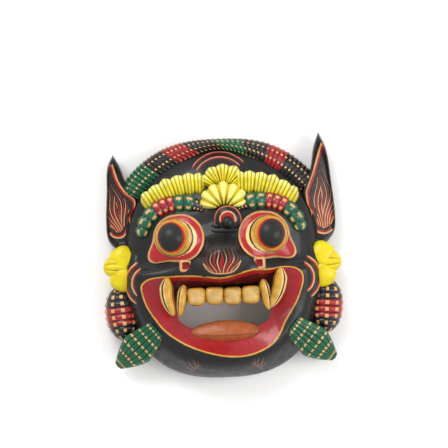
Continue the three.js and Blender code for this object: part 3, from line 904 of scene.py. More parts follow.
@dataclass(frozen=True)
class Face:
    """The plain head under the carving: its outline, dome, swellings and lips."""

    half_width: float = 93.0
    top: float = 103.0
    bottom: float = 112.0
    edge: float = 9.0
    rise: float = 43.0
    fullness: float = 2.5
    upper_power: float = 2.3
    lower_power: float = 2.6
    mounds: tuple[Mound, ...] = (
        Mound(0, -1, 52, 32, 16, 0.1, 1.1),
        Mound(0, -2, 27, 21, 16, 0.32, 1.15),
        Mound(0, 36, 66, 30, 6, 0.2, 1.2),
    )
    lips: Lips = field(default_factory=Lips)

    def outline_share(self, x: Array, y: Array) -> Array:
        """Share of the way out to the head's outline."""
        power = np.where(y > 0, self.upper_power, self.lower_power)
        reach = np.where(y > 0, self.top, self.bottom)
        return (np.abs(x / self.half_width) ** power + np.abs(y / reach) ** power) ** (1 / power)

    def height(self, x: Any, y: Any) -> Array:
        """Height of the plain face over the back rim."""
        x, y = np.broadcast_arrays(np.asarray(x, float), np.asarray(y, float))
        share = np.minimum(1, self.outline_share(x, y))
        fade = 1 - share**8
        dome = self.edge + self.rise * np.sqrt(np.clip(1 - share**self.fullness, 0, None))
        swollen = dome + sum(mound.lift(x, y) for mound in self.mounds) * fade
        lips = lerp(self.edge, self.lips.height(x, y), fade**0.25)
        return soft_max(swollen, lips, self.lips.blend * fade)


FACE = Face()


@dataclass(frozen=True)
class Flame:
    """Painted flames that rise from a cup.

    Attributes:
        x: The cup's lowest point.
        y: Its second coordinate.
        half_width: Half the width of the cup.
        depth: How deep the cup is.
        height: How high the middle stroke reaches.
        lean: How far the flames lean to the left, in degrees.
        strokes: How many spaces there are between strokes.
    """

    x: float
    y: float
    half_width: float
    depth: float
    height: float
    lean: float
    strokes: int

    def coordinates(self, x: Array, y: Array) -> tuple[Array, Array, Array]:
        """Distance over the cup's line in millimetres, count of strokes, and share of the stroke's height."""
        c, s = cos_sin(self.lean)
        across, up = (x - self.x) * c + (y - self.y) * s, (y - self.y) * c - (x - self.x) * s
        out = np.abs(across) / self.half_width
        slope = 3.4 * self.depth / self.half_width * out**2.4
        cup = (up - self.depth * out**3.4) / np.hypot(1, slope)
        rise = np.clip(up / self.height, 0, 1.2)
        spread = self.half_width * (0.45 + 0.55 * smoothstep(rise, 0.0, 0.5))
        wave = 0.055 * self.height * np.sin(8.5 * rise + 0.9 * np.sign(across)) * rise**0.5
        phase = (across + wave) / spread * self.strokes / 2 + (0.5 if self.strokes % 2 == 0 else 0.0)
        tip = 1 - 0.42 * np.minimum(1, out) ** 1.6 - 0.12 * (0.5 + 0.5 * np.sin(2.2 * phase + 1))
        beyond = out > 1.02
        cup = np.where(beyond, np.where(up > self.depth, 15, -10), cup)
        return cup, phase, np.where(beyond, 2, up / (self.height * tip))


@dataclass(frozen=True)
class Head:
    """The head itself: a fine grid raised to the face, with its side wall and its painted places."""

    columns: int = 170
    rows: int = 184
    flame: Flame = Flame(-0.6, -16.0, 17.5, 10.0, 30.0, 0.0, 5)
    flick: Flame = Flame(-28.0, -103.0, 6.0, 2.0, 16.0, 30.0, 3)
    arcs_at: tuple[float, float] = (0.5, 67.0)
    arcs_from: float = 60.0
    arcs_span: float = 112.0
    nose_half_width: float = 18.2
    nose_low: float = -17.5
    nose_high: float = 16.0
    lip_margin: float = 5.0
    cheeks_from: float = 68.0
    cheeks_y: float = -22.0
    cheeks_half_height: float = 28.0
    chin_half_width: float = 48.0
    chin_top: float = -82.0
    forehead_half_width: float = 36.0
    forehead_low: float = 70.0

    def build(self) -> Form:
        """Makes the head's closed form."""
        bpy.ops.object.select_all(action="DESELECT")
        cells = {"x_subdivisions": self.columns, "y_subdivisions": self.rows}
        bpy.ops.mesh.primitive_grid_add(**cells, size=2.0, calc_uvs=False)
        head = bpy.context.active_object
        head.name = "carved_mask"
        mesh = head.data
        flat = points_of(mesh) * MM
        x = flat[:, 0] * np.sqrt(1 - flat[:, 1] ** 2 / 2)
        y = flat[:, 1] * np.sqrt(1 - flat[:, 0] ** 2 / 2)
        out = np.hypot(x, y)
        share = 1 - (1 - np.minimum(1, out)) ** 1.3
        angle = np.arctan2(y, x)
        reach = share / FACE.outline_share(np.cos(angle), np.sin(angle))
        x, y = np.cos(angle) * reach, np.sin(angle) * reach
        set_points(mesh, stacked(x, y, FACE.height(x, y)))
        bpy.ops.object.mode_set(mode="EDIT")
        bpy.ops.mesh.select_mode(type="EDGE")
        bpy.ops.mesh.select_all(action="DESELECT")
        other_kinds = ("use_wire", "use_multi_face", "use_non_contiguous", "use_verts")
        bpy.ops.mesh.select_non_manifold(extend=False, **dict.fromkeys(other_kinds, False))
        drop = {"value": (0, 0, -FACE.edge * MM)}
        bpy.ops.mesh.extrude_edges_move(TRANSFORM_OT_translate=drop)
        bpy.ops.mesh.edge_face_add()
        bpy.ops.object.mode_set(mode="OBJECT")
        points = points_of(mesh)
        points[np.abs(points[:, 2]) < 0.01, 2] = 0
        set_points(mesh, points)
        face_outwards(head)
        self.paint(head)
        return head

    def paint(self, head: Form) -> None:
        """Gives each painted place of the head its finish and its paint coordinates."""
        mesh = head.data
        points = points_of(mesh)
        vertex, face = corners_of(mesh)
        count = np.bincount(face)
        middle = np.stack([np.bincount(face, points[vertex, i]) / count for i in range(3)], axis=1)
        x, y = points[vertex, 0], points[vertex, 1]
        values = np.zeros((len(vertex), 3))
        finish = np.zeros(len(count), np.int32)
        mesh.materials.append(FINISHES.material(BLACK))
        front = middle[:, 2] > FACE.edge + 0.5
        lip = FACE.lips.lip_curve()
        for number, (paint, inside, coordinates) in enumerate(
            (
                (LIP_PAINT, self.near_lips(middle, lip), lambda: stacked(beside_line(x, y, lip)[0], 0, 0)),
                (NOSE_PAINT, self.on_nose(middle), lambda: stacked(*self.flame.coordinates(x, y))),
                (ARC_PAINT, self.on_forehead(middle), lambda: self.arcs(x, y)),
                (CHEEK_PAINT, self.on_cheeks(middle, lip), lambda: Cheeks().arcs(x, y)),
                (CHIN_PAINT, self.on_chin(middle, lip), lambda: self.flicks(x, y)),
            ),
            start=1,
        ):
            mesh.materials.append(FINISHES.material(paint))
            chosen = inside & front
            finish[chosen] = number
            values[chosen[face]] = coordinates()[chosen[face]]
        mesh.polygons.foreach_set("material_index", finish)
        set_paint(mesh, values)

    def near_lips(self, middle: Array, lip: Array) -> Array:
        """Which faces lie along the lip line."""
        return np.abs(beside_line(middle[:, 0], middle[:, 1], lip)[0]) < self.lip_margin

    def on_nose(self, middle: Array) -> Array:
        """Which faces carry the nose's flames."""
        level = (middle[:, 1] > self.nose_low) & (middle[:, 1] < self.nose_high)
        return (np.abs(middle[:, 0] - self.flame.x) < self.nose_half_width) & level

    def on_cheeks(self, middle: Array, lip: Array) -> Array:
        """Which faces carry the cheeks' arcs."""
        level = np.abs(middle[:, 1] - self.cheeks_y) < self.cheeks_half_height
        beside = (np.abs(middle[:, 0]) > self.cheeks_from) & level
        return beside & (beside_line(middle[:, 0], middle[:, 1], lip)[0] < -self.lip_margin)

    def on_chin(self, middle: Array, lip: Array) -> Array:
        """Which faces carry the chin's flicks of the brush."""
        below = (np.abs(middle[:, 0]) < self.chin_half_width) & (middle[:, 1] < self.chin_top)
        return below & (beside_line(middle[:, 0], middle[:, 1], lip)[0] < -self.lip_margin)

    def flicks(self, x: Array, y: Array) -> Array:
        """The flames' coordinates of the flicks at both sides of the chin."""
        return stacked(*self.flick.coordinates(-np.abs(x), y))

    def on_forehead(self, middle: Array) -> Array:
        """Which faces carry the forehead's arcs."""
        return (np.abs(middle[:, 0]) < self.forehead_half_width) & (middle[:, 1] > self.forehead_low)

    def arcs(self, x: Array, y: Array) -> Array:
        """Distance from the arcs' middle and share of the way round them."""
        dx, dy = x - self.arcs_at[0], y - self.arcs_at[1]
        return stacked(np.hypot(dx, dy), (np.degrees(np.arctan2(dx, dy)) + self.arcs_from) / self.arcs_span, 0)


@dataclass(frozen=True)
class Hollow:
    """The space gouged out behind the face."""

    half_width: float = 79.0
    top: float = 88.0
    bottom: float = 96.0
    depth: float = 43.0
    fullness: float = 2.6
    scoop: float = 0.5

    def build(self) -> Form:
        """Makes the form that is cut away, with the gouge's scoops on it."""

        def place(share: Array, turn: Array) -> Array:
            out = np.clip(np.where(share < 0.75, share / 0.75, (1 - share) / 0.25), 0, 1)
            out = np.where(share < 0.75, 1 - (1 - out) ** 1.7, out)
            x, y = self.half_width * out * np.cos(turn), out * np.sin(turn)
            y = y * np.where(y > 0, self.top, self.bottom)
            dome = self.depth * np.sqrt(np.clip(1 - out**self.fullness, 0, None))
            across = np.abs(np.sin(x / 5.5 + 0.8 * np.sin(y / 13)))
            along = np.abs(np.sin(y / 9 + 0.6 * np.sin(x / 17)))
            marks = self.scoop * across * along
            return stacked(x, y, np.where(share < 0.751, dome - marks * (1 - out**6), BELOW_RIM))

        return shaped_ball("hollow", 96, 40, BARE, place, lambda share, turn, at: stacked(share, 0, 0))


# The eyes, brows, nose and cheeks


@dataclass(frozen=True)
class Eyes:
    """The bulging eyeballs and the lids round them."""

    x: float = 43.5
    y: float = 19.0
    radius: float = 18.0
    bulge: float = 22.0
    lean: float = 12.0
    lid_x: float = 41.0
    lid_y: float = 18.5
    lid_radius: float = 21.5
    lid_nasal: float = 3.5
    lid_corner: float = 11.0
    corner_at: float = -37.0
    corner_spread: float = 20.0
    lid_rise: float = 9.0
    lid_skirt: float = 9.0
    pupil_x: float = 46.6
    pupil_y: float = 19.8
    pupil_half_width: float = 11.3
    pupil_half_height: float = 12.9
    ring_x: float = 43.2
    ring_y: float = 19.2
    ring_radius: float = 17.8
    border: float = 7.0
    outer_border: float = 5.4
    lid_rounding: float = 1.6
    past_rings: float = 60.0

    def lid_reach(self, angle: Array) -> Array:
        """The lid's reach from its middle, by the angle from the outward direction."""
        to_corner = np.abs((angle - math.radians(self.corner_at) + np.pi) % (2 * np.pi) - np.pi)
        corner = self.lid_corner * np.exp(-((to_corner / math.radians(self.corner_spread)) ** 2))
        return self.lid_radius - self.lid_nasal * np.minimum(0, np.cos(angle)) + corner

    def ring_share(self, x: Array, y: Array) -> Array:
        """Share of the way from the pupil's edge, at 0, to the outermost painted ring, at 1."""
        dx, dy = x - self.pupil_x, y - self.pupil_y
        away = np.maximum(1e-6, np.hypot(dx, dy))
        dx, dy = dx / away, dy / away
        pupil = 1 / np.hypot(dx / self.pupil_half_width, dy / self.pupil_half_height)
        off_x, off_y = self.pupil_x - self.ring_x, self.pupil_y - self.ring_y
        along = dx * off_x + dy * off_y
        ring = -along + np.sqrt(along**2 - off_x**2 - off_y**2 + self.ring_radius**2)
        return (away - pupil) / (ring - pupil)

    def lid(self, side: Side) -> Form:
        """Makes a lid: a low almond that stands proud of the face, pointed at its outer corner."""
        reaches = np.concatenate([np.linspace(0, 0.9, 25), [0.93, 0.955, 0.985, 1.0, 1.015, 1.02, 0.6, 0]])
        rings = len(reaches) - 1

        def place(share: Array, turn: Array) -> Array:
            ring = ring_of(share, rings)
            out = reaches[ring]
            reach = out * self.lid_reach(turn)
            x, y = self.lid_x + reach * np.cos(turn), self.lid_y + reach * np.sin(turn)
            rounding = self.lid_rounding * np.clip((out - 0.9) / 0.1, 0, 1) ** 2
            top = FACE.height(x, y) + self.lid_rise * (1 - 0.6 * out**2) - rounding
            under = FACE.height(x, y) - self.lid_skirt
            return stacked(side.value * x, y, np.where(ring < rings - 2, top, under))

        def paint(share: Array, turn: Array, at: Array) -> Array:
            out = reaches[ring_of(share, rings)]
            rim = (1 - out) * self.lid_reach(turn)
            border = lerp(self.border, self.outer_border, smoothstep(np.cos(turn), -0.1, 0.35))
            inside = np.maximum(0, 1 - self.ring_share(side.value * at[:, 0], at[:, 1]))
            return stacked(np.minimum(rim, border) + self.past_rings * inside, 0, 0)

        return shaped_ball(f"lid_{side.label}", 96, rings, LID_PAINT, place, paint)

    def ball(self, side: Side) -> Form:
        """Makes an eyeball, turned a little outwards."""
        seat = float(FACE.height(self.x, self.y))
        c, s = cos_sin(self.lean)

        def place(share: Array, turn: Array) -> Array:
            out, up = np.sin(np.pi * share), self.bulge * np.cos(np.pi * share)
            x, y = self.radius * out * np.cos(turn), self.radius * out * np.sin(turn)
            return stacked(side.value * (self.x + x * c + up * s), self.y + y, seat + up * c - x * s)

        def paint(share: Array, turn: Array, at: Array) -> Array:
            return stacked(self.ring_share(side.value * at[:, 0], at[:, 1]), 0, 0)

        return shaped_ball(f"eyeball_{side.label}", 72, 40, EYE_PAINT, place, paint)


@dataclass(frozen=True)
class Brows:
    """The beaded roll over each eye."""

    radius: float = 32.0
    nasal_radius: float = 36.0
    start: float = 3.0
    stop: float = 136.0
    half_width: float = 8.2
    height: float = 9.0
    groove: float = 0.17
    drop: float = 0.5
    bead_ends: tuple[tuple[float, float], ...] = (
        (3.0, 0.0), (54.0, 3.0), (88.0, 6.0), (119.0, 8.0), (136.0, 11.0),
    )

    def beads(self, angle: Array) -> Array:
        """Count of beads from the outer end, by angle round the eye."""
        return np.interp(angle, *zip(*self.bead_ends))

    def build(self, side: Side) -> Form:
        """Makes one brow."""
        eyes = Eyes()

        def path(share: Array) -> Array:
            angle = np.radians(lerp(self.start, self.stop, share))
            radius = lerp(self.radius, self.nasal_radius, smoothstep(share, 0.6, 1))
            x, y = eyes.lid_x + radius * np.cos(angle), eyes.lid_y - self.drop + radius * np.sin(angle)
            return stacked(side.value * x, y, FACE.height(x, y))

        def reach(share: Array, turn: Array) -> tuple[Array, Array]:
            bead = ridged(self.beads(lerp(self.start, self.stop, share)), self.groove)
            scale = round_ends(share, 8) * bead
            narrow = 1 - 0.3 * smoothstep(share, 0.82, 0.95)
            return self.half_width * scale * narrow, self.height * scale * narrow

        def paint(share: Array, turn: Array, at: Array) -> Array:
            angle = lerp(self.start, self.stop, share)
            return stacked(angle, self.beads(angle), side.value * turn / 1.1 + 0.05)

        return shaped_ball(f"brow_{side.label}", 28, 110, BROW_PAINT, Roll(path, reach).place, paint)


@dataclass(frozen=True)
class Nose:
    """The nostrils' frames and holes."""

    x: float = 33.5
    y: float = -6.0
    size: float = 12.0
    rise: float = 2.2
    hole_size: float = 6.8
    hole_depth: float = 2.0
    hole_over: float = 5.0
    sunk: float = 8.0
    drop: float = 1.0

    def block(self, side: Side, size: float, low: float, high: float, finish: BrushedPaint) -> Form:
        """Makes a rounded square block on a nostril's place.

        Args:
            side: The side of the face.
            size: Its width and height in the face's plane.
            low: Where it begins, over the face.
            high: Where it ends.
            finish: Its paint.

        Returns:
            The closed form.
        """
        seat = float(FACE.height(self.x, self.y))
        bpy.ops.object.select_all(action="DESELECT")
        bpy.ops.mesh.primitive_cube_add(size=1.0, calc_uvs=False)
        block = bpy.context.active_object
        block.name = f"nostril_{side.label}"
        points = points_of(block.data) * MM
        at = np.array([side.value * self.x, self.y - self.drop, seat + (low + high) / 2])
        set_points(block.data, at + points * np.array([size, size, high - low]))
        soft = block.modifiers.new("round", "BEVEL")
        soft.width, soft.segments, soft.limit_method = 0.22 * size * MM, 3, "NONE"
        bpy.ops.object.modifier_apply(modifier="round")
        vertex, _ = corners_of(block.data)
        set_paint(block.data, np.zeros((len(vertex), 3)))
        block.data.materials.append(FINISHES.material(finish))
        return block


@dataclass(frozen=True)
class Forehead:
    """The small third eye on its mound, and the wrinkles under it."""

    x: float = 6.5
    y: float = 35.0
    radius: float = 5.5
    mound: float = 13.0
    mound_rise: float = 7.0
    ball_drop: float = 3.5
    arcs_drop: float = 1.0
    arcs_from: float = 115.0
    arcs_span: float = 230.0
    fold_x: float = 3.0
    folds: tuple[float, ...] = (28.5, 24.0)
    fold_half_width: float = 12.0
    fold_half_height: float = 2.8
    fold_rise: float = 2.4

    def lump(self, name: str, at: list[float], radii: tuple[float, float, float], finish: BrushedPaint) -> Form:
        """Makes an egg-shaped lump, with arcs painted round the third eye.

        Args:
            name: The form's name.
            at: Its middle.
            radii: Its half sizes.
            finish: Its paint.

        Returns:
            The closed form.
        """

        def place(share: Array, turn: Array) -> Array:
            return np.array(at) + unit_ball(share, turn) * np.array(radii)

        def paint(share: Array, turn: Array, points: Array) -> Array:
            dx, dy = points[:, 0] - self.x, points[:, 1] - self.y + self.arcs_drop
            around = (np.degrees(np.arctan2(dx, dy)) + self.arcs_from) / self.arcs_span
            return stacked(np.hypot(dx, dy), around, 0)

        return shaped_ball(name, 48, 28, finish, place, paint)

    def build(self) -> list[Form]:
        """Makes the mound, the ball and the wrinkles."""
        seat = float(FACE.height(self.x, self.y))
        radii = (self.mound, self.mound, self.mound_rise + 1)
        mound = self.lump("third_eye_mound", [self.x, self.y, seat], radii, THIRD_EYE_PAINT)
        at = [self.x, self.y - self.ball_drop, seat + self.mound_rise]
        ball = self.lump("third_eye", at, (self.radius,) * 3, BLACK)
        folds = [
            self.lump(
                f"wrinkle_{number}", [self.fold_x, y, float(FACE.height(self.fold_x, y))],
                (self.fold_half_width, self.fold_half_height, self.fold_rise), BLACK,
            )
            for number, y in enumerate(self.folds)
        ]
        return [mound, ball, *folds]


@dataclass(frozen=True)
class Cheeks:
    """The rounded jowls beside the mouth, each with two painted arcs."""

    x: float = 75.0
    bow: float = 5.0
    top: float = 16.0
    bottom: float = -58.0
    half_width: float = 10.5
    height: float = 14.0
    centre_z: float = 24.0
    arcs_x: float = 68.5
    arcs_y: float = -22.0
    arcs_from: float = 58.0
    arcs_span: float = 124.0

    def arcs(self, x: Array, y: Array) -> Array:
        """Distance from the painted arcs' middle and share of the way round them."""
        dx, dy = np.abs(x) - self.arcs_x, y - self.arcs_y
        return stacked(np.hypot(dx, dy), (np.degrees(np.arctan2(dy, dx)) + self.arcs_from) / self.arcs_span, 0)

    def build(self, side: Side) -> Form:
        """Makes one jowl."""

        def path(share: Array) -> Array:
            x = side.value * (self.x + self.bow * np.sin(np.pi * share))
            return stacked(x, lerp(self.top, self.bottom, share), self.centre_z)

        def reach(share: Array, turn: Array) -> tuple[Array, Array]:
            scale = round_ends(share, 2.4)
            return self.half_width * scale, self.height * scale

        def paint(share: Array, turn: Array, at: Array) -> Array:
            return self.arcs(at[:, 0], at[:, 1])

        return shaped_ball(f"cheek_{side.label}", 40, 64, CHEEK_PAINT, Roll(path, reach).place, paint)


# The hair and the crown


@dataclass(frozen=True)
class Hair:
    """The roll of twisted hair over the top of the head, cut across into slanting cords."""

    start: float = 37.0
    stop: float = 145.0
    inner: float = 87.0
    inner_top: float = 97.0
    outer: float = 114.5
    outer_top: float = 109.0
    height: float = 12.0
    under: float = 15.5
    centre_z: float = 18.5
    cords: int = 46
    groove: float = 0.1
    rows: float = 5.0

    def edges(self, share: Array) -> tuple[Array, Array, Array]:
        """Angle, and inner and outer radius, by share along the roll."""
        angle = np.radians(lerp(self.start, self.stop, share))
        top = np.clip(np.sin(angle), 0, None) ** 16
        return angle, lerp(self.inner, self.inner_top, top), lerp(self.outer, self.outer_top, top)

    def slanted(self, share: Array, across: Array) -> Array:
        """Share along the roll where a cord that passes here crosses the roll's middle."""
        slant = 0.1 + 0.75 * np.exp(-(((share - 0.56) / 0.26) ** 2)) - 0.1 * smoothstep(share, 0.35, 0.1)
        return share + 0.052 * slant * across

    def build(self) -> Form:
        """Makes the hair."""

        def path(share: Array) -> Array:
            angle, inner, outer = self.edges(share)
            middle = (inner + outer) / 2
            return stacked(middle * np.cos(angle), middle * np.sin(angle), self.centre_z)

        def reach(share: Array, turn: Array) -> tuple[Array, Array]:
            _, inner, outer = self.edges(share)
            cord = ridged(self.cords * self.slanted(share, np.sin(turn)), self.groove)
            scale = round_ends(share, 24) * cord
            return (outer - inner) / 2 * scale, np.where(np.cos(turn) < 0, self.under, self.height) * scale

        def paint(share: Array, turn: Array, at: Array) -> Array:
            along = self.slanted(share, np.sin(turn))
            return stacked(along, self.cords * along, self.rows * (turn + np.pi / 2) / np.pi)

        return shaped_ball("hair", 40, 368, HAIR_PAINT, Roll(path, reach).place, paint)


@dataclass(frozen=True)
class Crown:
    """The gilt crown: a row of petals down each side and two fans on the middle of the forehead."""

    shift: float = 3.5
    row_from: tuple[float, float] = (13.0, 67.0)
    row_to: tuple[float, float] = (71.0, 49.0)
    arch: float = 6.0
    row_half_width: float = 11.5
    row_height: float = 9.0
    petals: int = 6
    groove: float = 0.2

    def petal_roll(
        self, name: str, path: Callable, size: tuple[float, float],
        petals: int, blunt: float, finish: BrushedPaint, cuts: int,
    ) -> Form:
        """Makes a roll cut into petals, each with finer cuts in it.

        Args:
            name: The form's name.
            path: The roll's path.
            size: Its half width and height.
            petals: How many petals it is cut into.
            blunt: How blunt its ends are.
            finish: Its paint.
            cuts: How many ridges each petal has.

        Returns:
            The closed form.
        """

        def reach(share: Array, turn: Array) -> tuple[Array, Array]:
            lobe = ridged(petals * share, self.groove)
            fine = ridged(petals * cuts * share, 0.09)
            uneven = 0.05 * np.sin(2.3 * np.floor(petals * share) + 1.1)
            by_hand = 1 + uneven * np.sin(np.pi * petals * share) ** 2
            scale = round_ends(share, blunt) * lobe * by_hand
            return size[0] * scale, size[1] * scale * fine

        # Which of the roll's sides, halfway along it, lies nearer the crown.
        roll = Roll(path, reach)
        sides = roll.place(np.array([0.5, 0.5]), np.array([np.pi / 2, -np.pi / 2]))
        outward = 1.0 if sides[0, 1] < sides[1, 1] else -1.0

        def paint(share: Array, turn: Array, at: Array) -> Array:
            return stacked(0.5 - 0.5 * np.sin(turn) * outward, petals * cuts * share, 0)

        return shaped_ball(name, 32, 16 * petals * 2, finish, roll.place, paint)

    def row(self, side: Side) -> Form:
        """Makes the row of petals down one side."""

        def path(share: Array) -> Array:
            x = lerp(self.row_from[0], self.row_to[0], share)
            y = lerp(self.row_from[1], self.row_to[1], share) + self.arch * np.sin(np.pi * share)
            return stacked(side.value * x, y, FACE.height(x, y))

        size = (self.row_half_width, self.row_height)
        return self.petal_roll(f"petals_{side.label}", path, size, self.petals, 8, PETAL_PAINT, 3)

    def fan(
        self, name: str, y: float, radius: float, spread: float,
        size: tuple[float, float], finish: BrushedPaint, petals: int, cuts: int,
    ) -> Form:
        """Makes a fan of petals, as a roll bent round the fan's root.

        Args:
            name: The form's name.
            y: Where the root is.
            radius: The roll's distance from the root.
            spread: How far round the root it runs, in degrees.
            size: The roll's half width and height.
            finish: Its paint.
            petals: How many petals it is cut into.
            cuts: How many ridges each petal has.

        Returns:
            The closed form.
        """

        def path(share: Array) -> Array:
            angle = np.radians(90 + spread * (0.5 - share))
            height = float(FACE.height(self.shift, y + radius))
            return stacked(self.shift + radius * np.cos(angle), y + radius * np.sin(angle), height)

        return self.petal_roll(name, path, size, petals, 5, finish, cuts)

    def build(self) -> list[Form]:
        """Makes the rows and the fans, lowest first."""
        rows = on_both_sides(self.row)
        upper = self.fan("upper_fan", 60.0, 15.0, 150.0, (10.5, 12.0), PETAL_PAINT, 5, 3)
        lower = self.fan("lower_fan", 43.0, 14.5, 176.0, (11.5, 16.0), FAN_PAINT, 7, 1)
        return [rows, upper, lower]


# The ears, flowers, knots and tufts


@dataclass(frozen=True)
class Ears:
    """The flame-shaped ears, with a painted border and flames in each."""

    back: float = 6.0
    front: float = 24.0
    tilt: float = 0.25
    dish: float = 3.5
    rounding: float = 9.0
    border: float = 4.5
    middle: tuple[float, float] = (93.0, 45.0)
    waist: float = 54.0
    left_tip: float = 98.0
    left_lean: float = 0.1
    right_tip: float = 112.0
    lobe: tuple[float, float] = (95.0, 7.0)
    inner: tuple[tuple[float, float], ...] = ((84, 10), (80, 25), (83, 37.5), (76.5, 55), (84, 76), (88, 97))
    tip: tuple[float, float] = (93.0, 112.0)
    outer: tuple[tuple[float, float], ...] = ((100, 95), (103.5, 66), (106, 36), (104.5, 19))
    left_line: tuple[tuple[float, float], ...] = (
        (-98.5, 90), (-94, 74), (-87.5, 63), (-80, 56), (-78.5, 51), (-80, 43), (-83.5, 37.5), (-84, 31),
        (-87.5, 25), (-92.5, 21), (-99.5, 22), (-103, 26),
    )
    right_line: tuple[tuple[float, float], ...] = (
        (96, 102), (91.5, 88), (86.5, 73), (81, 59), (80, 54), (81.5, 43), (84.5, 37), (83.5, 30), (84, 25),
        (88.5, 19.5), (96.5, 17.5), (103, 21),
    )
    left_flame: Flame = Flame(-90.0, 25.5, 10.5, 9.0, 58.0, 12.0, 5)
    right_flame: Flame = Flame(94.5, 22.5, 10.0, 9.0, 68.0, 1.0, 5)

    def edge(self, side: Side) -> Array:
        """The ear's edge, from its lobe up the inner side, over the tip and down the outer side."""
        right = side is Side.RIGHT
        stretch = ((self.right_tip if right else self.left_tip) - self.waist) / (self.right_tip - self.waist)

        def placed(points: tuple) -> list[tuple[float, float]]:
            above = [max(0.0, y - self.waist) * stretch for _, y in points]
            lean = 0.0 if right else self.left_lean
            return [(side.value * (x + lean * a), min(y, self.waist) + a) for (x, y), a in zip(points, above)]

        up = spline(placed((self.lobe, *self.inner, self.tip)), 61)
        down = spline(placed((self.tip, *self.outer, self.lobe)), 61)
        return np.vstack([up, down[1:]])

    def build(self, side: Side) -> Form:
        """Makes an ear: a slab with a rounded edge, a rim and a dished front."""
        edge = self.edge(side)
        reaches = np.concatenate([np.linspace(0, 0.9, 28), [0.95, 0.975, 0.99, 1.0, 0.985, 0.95, 0]])
        dished = self.front - self.dish * (1 - smoothstep(reaches, 0.74, 0.92))
        levels = dished - self.rounding * np.clip((reaches - 0.93) / 0.07, 0, 1) ** 2.2
        rings = len(reaches) - 1
        behind = rings - 2
        levels[behind:] = (self.back + 3, self.back, self.back)
        line = spline(list(self.left_line if side is Side.LEFT else self.right_line), 160)
        flame = self.left_flame if side is Side.LEFT else self.right_flame

        def place(share: Array, turn: Array) -> Array:
            ring = ring_of(share, rings)
            at = np.mod(turn / (2 * np.pi), 1) * (len(edge) - 1)
            steps = np.arange(len(edge))
            x = lerp(side.value * self.middle[0], np.interp(at, steps, edge[:, 0]), reaches[ring])
            y = lerp(self.middle[1], np.interp(at, steps, edge[:, 1]), reaches[ring])
            raised = np.where(ring < behind, self.tilt * (self.middle[0] - np.abs(x)), 0)
            return stacked(x, y, levels[ring] + raised)

        def paint(share: Array, turn: Array, at: Array) -> Array:
            away, along = beside_line(at[:, 0], at[:, 1], line)
            inward = away * side.value
            cup, phase, height = flame.coordinates(at[:, 0], at[:, 1])
            near = (inward < self.border) & (along > 0.002) & (along < 0.998)
            past = (inward < self.border) & ~near
            u = np.where(near, inward, np.where(past, -10, 50 + np.clip(cup, -10, 10)))
            return stacked(np.where(share * rings > behind - 1.5, -10, u), phase, height)

        return shaped_ball(f"ear_{side.label}", 160, rings, EAR_PAINT, place, paint)


@dataclass(frozen=True)
class Flowers:
    """The gilt flower of three petals below each ear."""

    x: float = 86.0
    y: float = -7.0
    lean: float = -2.0
    centre_z: float = 27.0
    height: float = 6.5
    right_drop: float = 2.5
    petals: tuple[tuple[float, float, float], ...] = ((54, 22, 11.5), (-58, 24, 11.5), (4, 24, 9.0))

    def petal(self, side: Side, number: int) -> Form:
        """Makes one petal; the middle one has two cuts along it."""
        turned, reach_out, half_width = self.petals[number]
        c, s = cos_sin(turned)
        dx, dy = reach_out * c, reach_out * s
        cuts = 3 if number == 2 else 0

        def path(share: Array) -> Array:
            x, y = self.x + dx * share, self.y + dy * share
            drop = self.right_drop if side is Side.RIGHT else 0.0
            return stacked(side.value * x, y - drop, self.centre_z + self.lean * share)

        def ridges(turn: Array) -> Array:
            return 0.5 + 0.5 * np.sin(turn) * cuts if cuts else 0.5 + 0 * turn

        def reach(share: Array, turn: Array) -> tuple[Array, Array]:
            scale = round_ends(share, 3)
            return half_width * scale, self.height * scale * ridged(ridges(turn), 0.2)

        def paint(share: Array, turn: Array, at: Array) -> Array:
            return stacked(share, ridges(turn), 0)

        name = f"flower_{side.label}_{number}"
        return shaped_ball(name, 36, 28, FLOWER_PAINT, Roll(path, reach).place, paint)


@dataclass(frozen=True)
class Knots:
    """The bundle of hair below each flower, bound into rings."""

    top: tuple[float, float] = (96.0, -24.0)
    bottom: tuple[float, float] = (92.0, -74.0)
    half_width: float = 16.5
    height: float = 14.5
    centre_z: float = 17.0
    ridges: int = 8
    groove: float = 0.1

    def build(self, side: Side) -> Form:
        """Makes one knot."""

        def path(share: Array) -> Array:
            x = side.value * lerp(self.top[0], self.bottom[0], share)
            return stacked(x, lerp(self.top[1], self.bottom[1], share), self.centre_z)

        def reach(share: Array, turn: Array) -> tuple[Array, Array]:
            scale = round_ends(share, 2.2) * ridged(self.ridges * share, self.groove)
            return self.half_width * scale, self.height * scale

        def paint(share: Array, turn: Array, at: Array) -> Array:
            return stacked(share, self.ridges * share, turn / 0.62 + 0.4)

        return shaped_ball(f"knot_{side.label}", 48, 72, KNOT_PAINT, Roll(path, reach).place, paint)


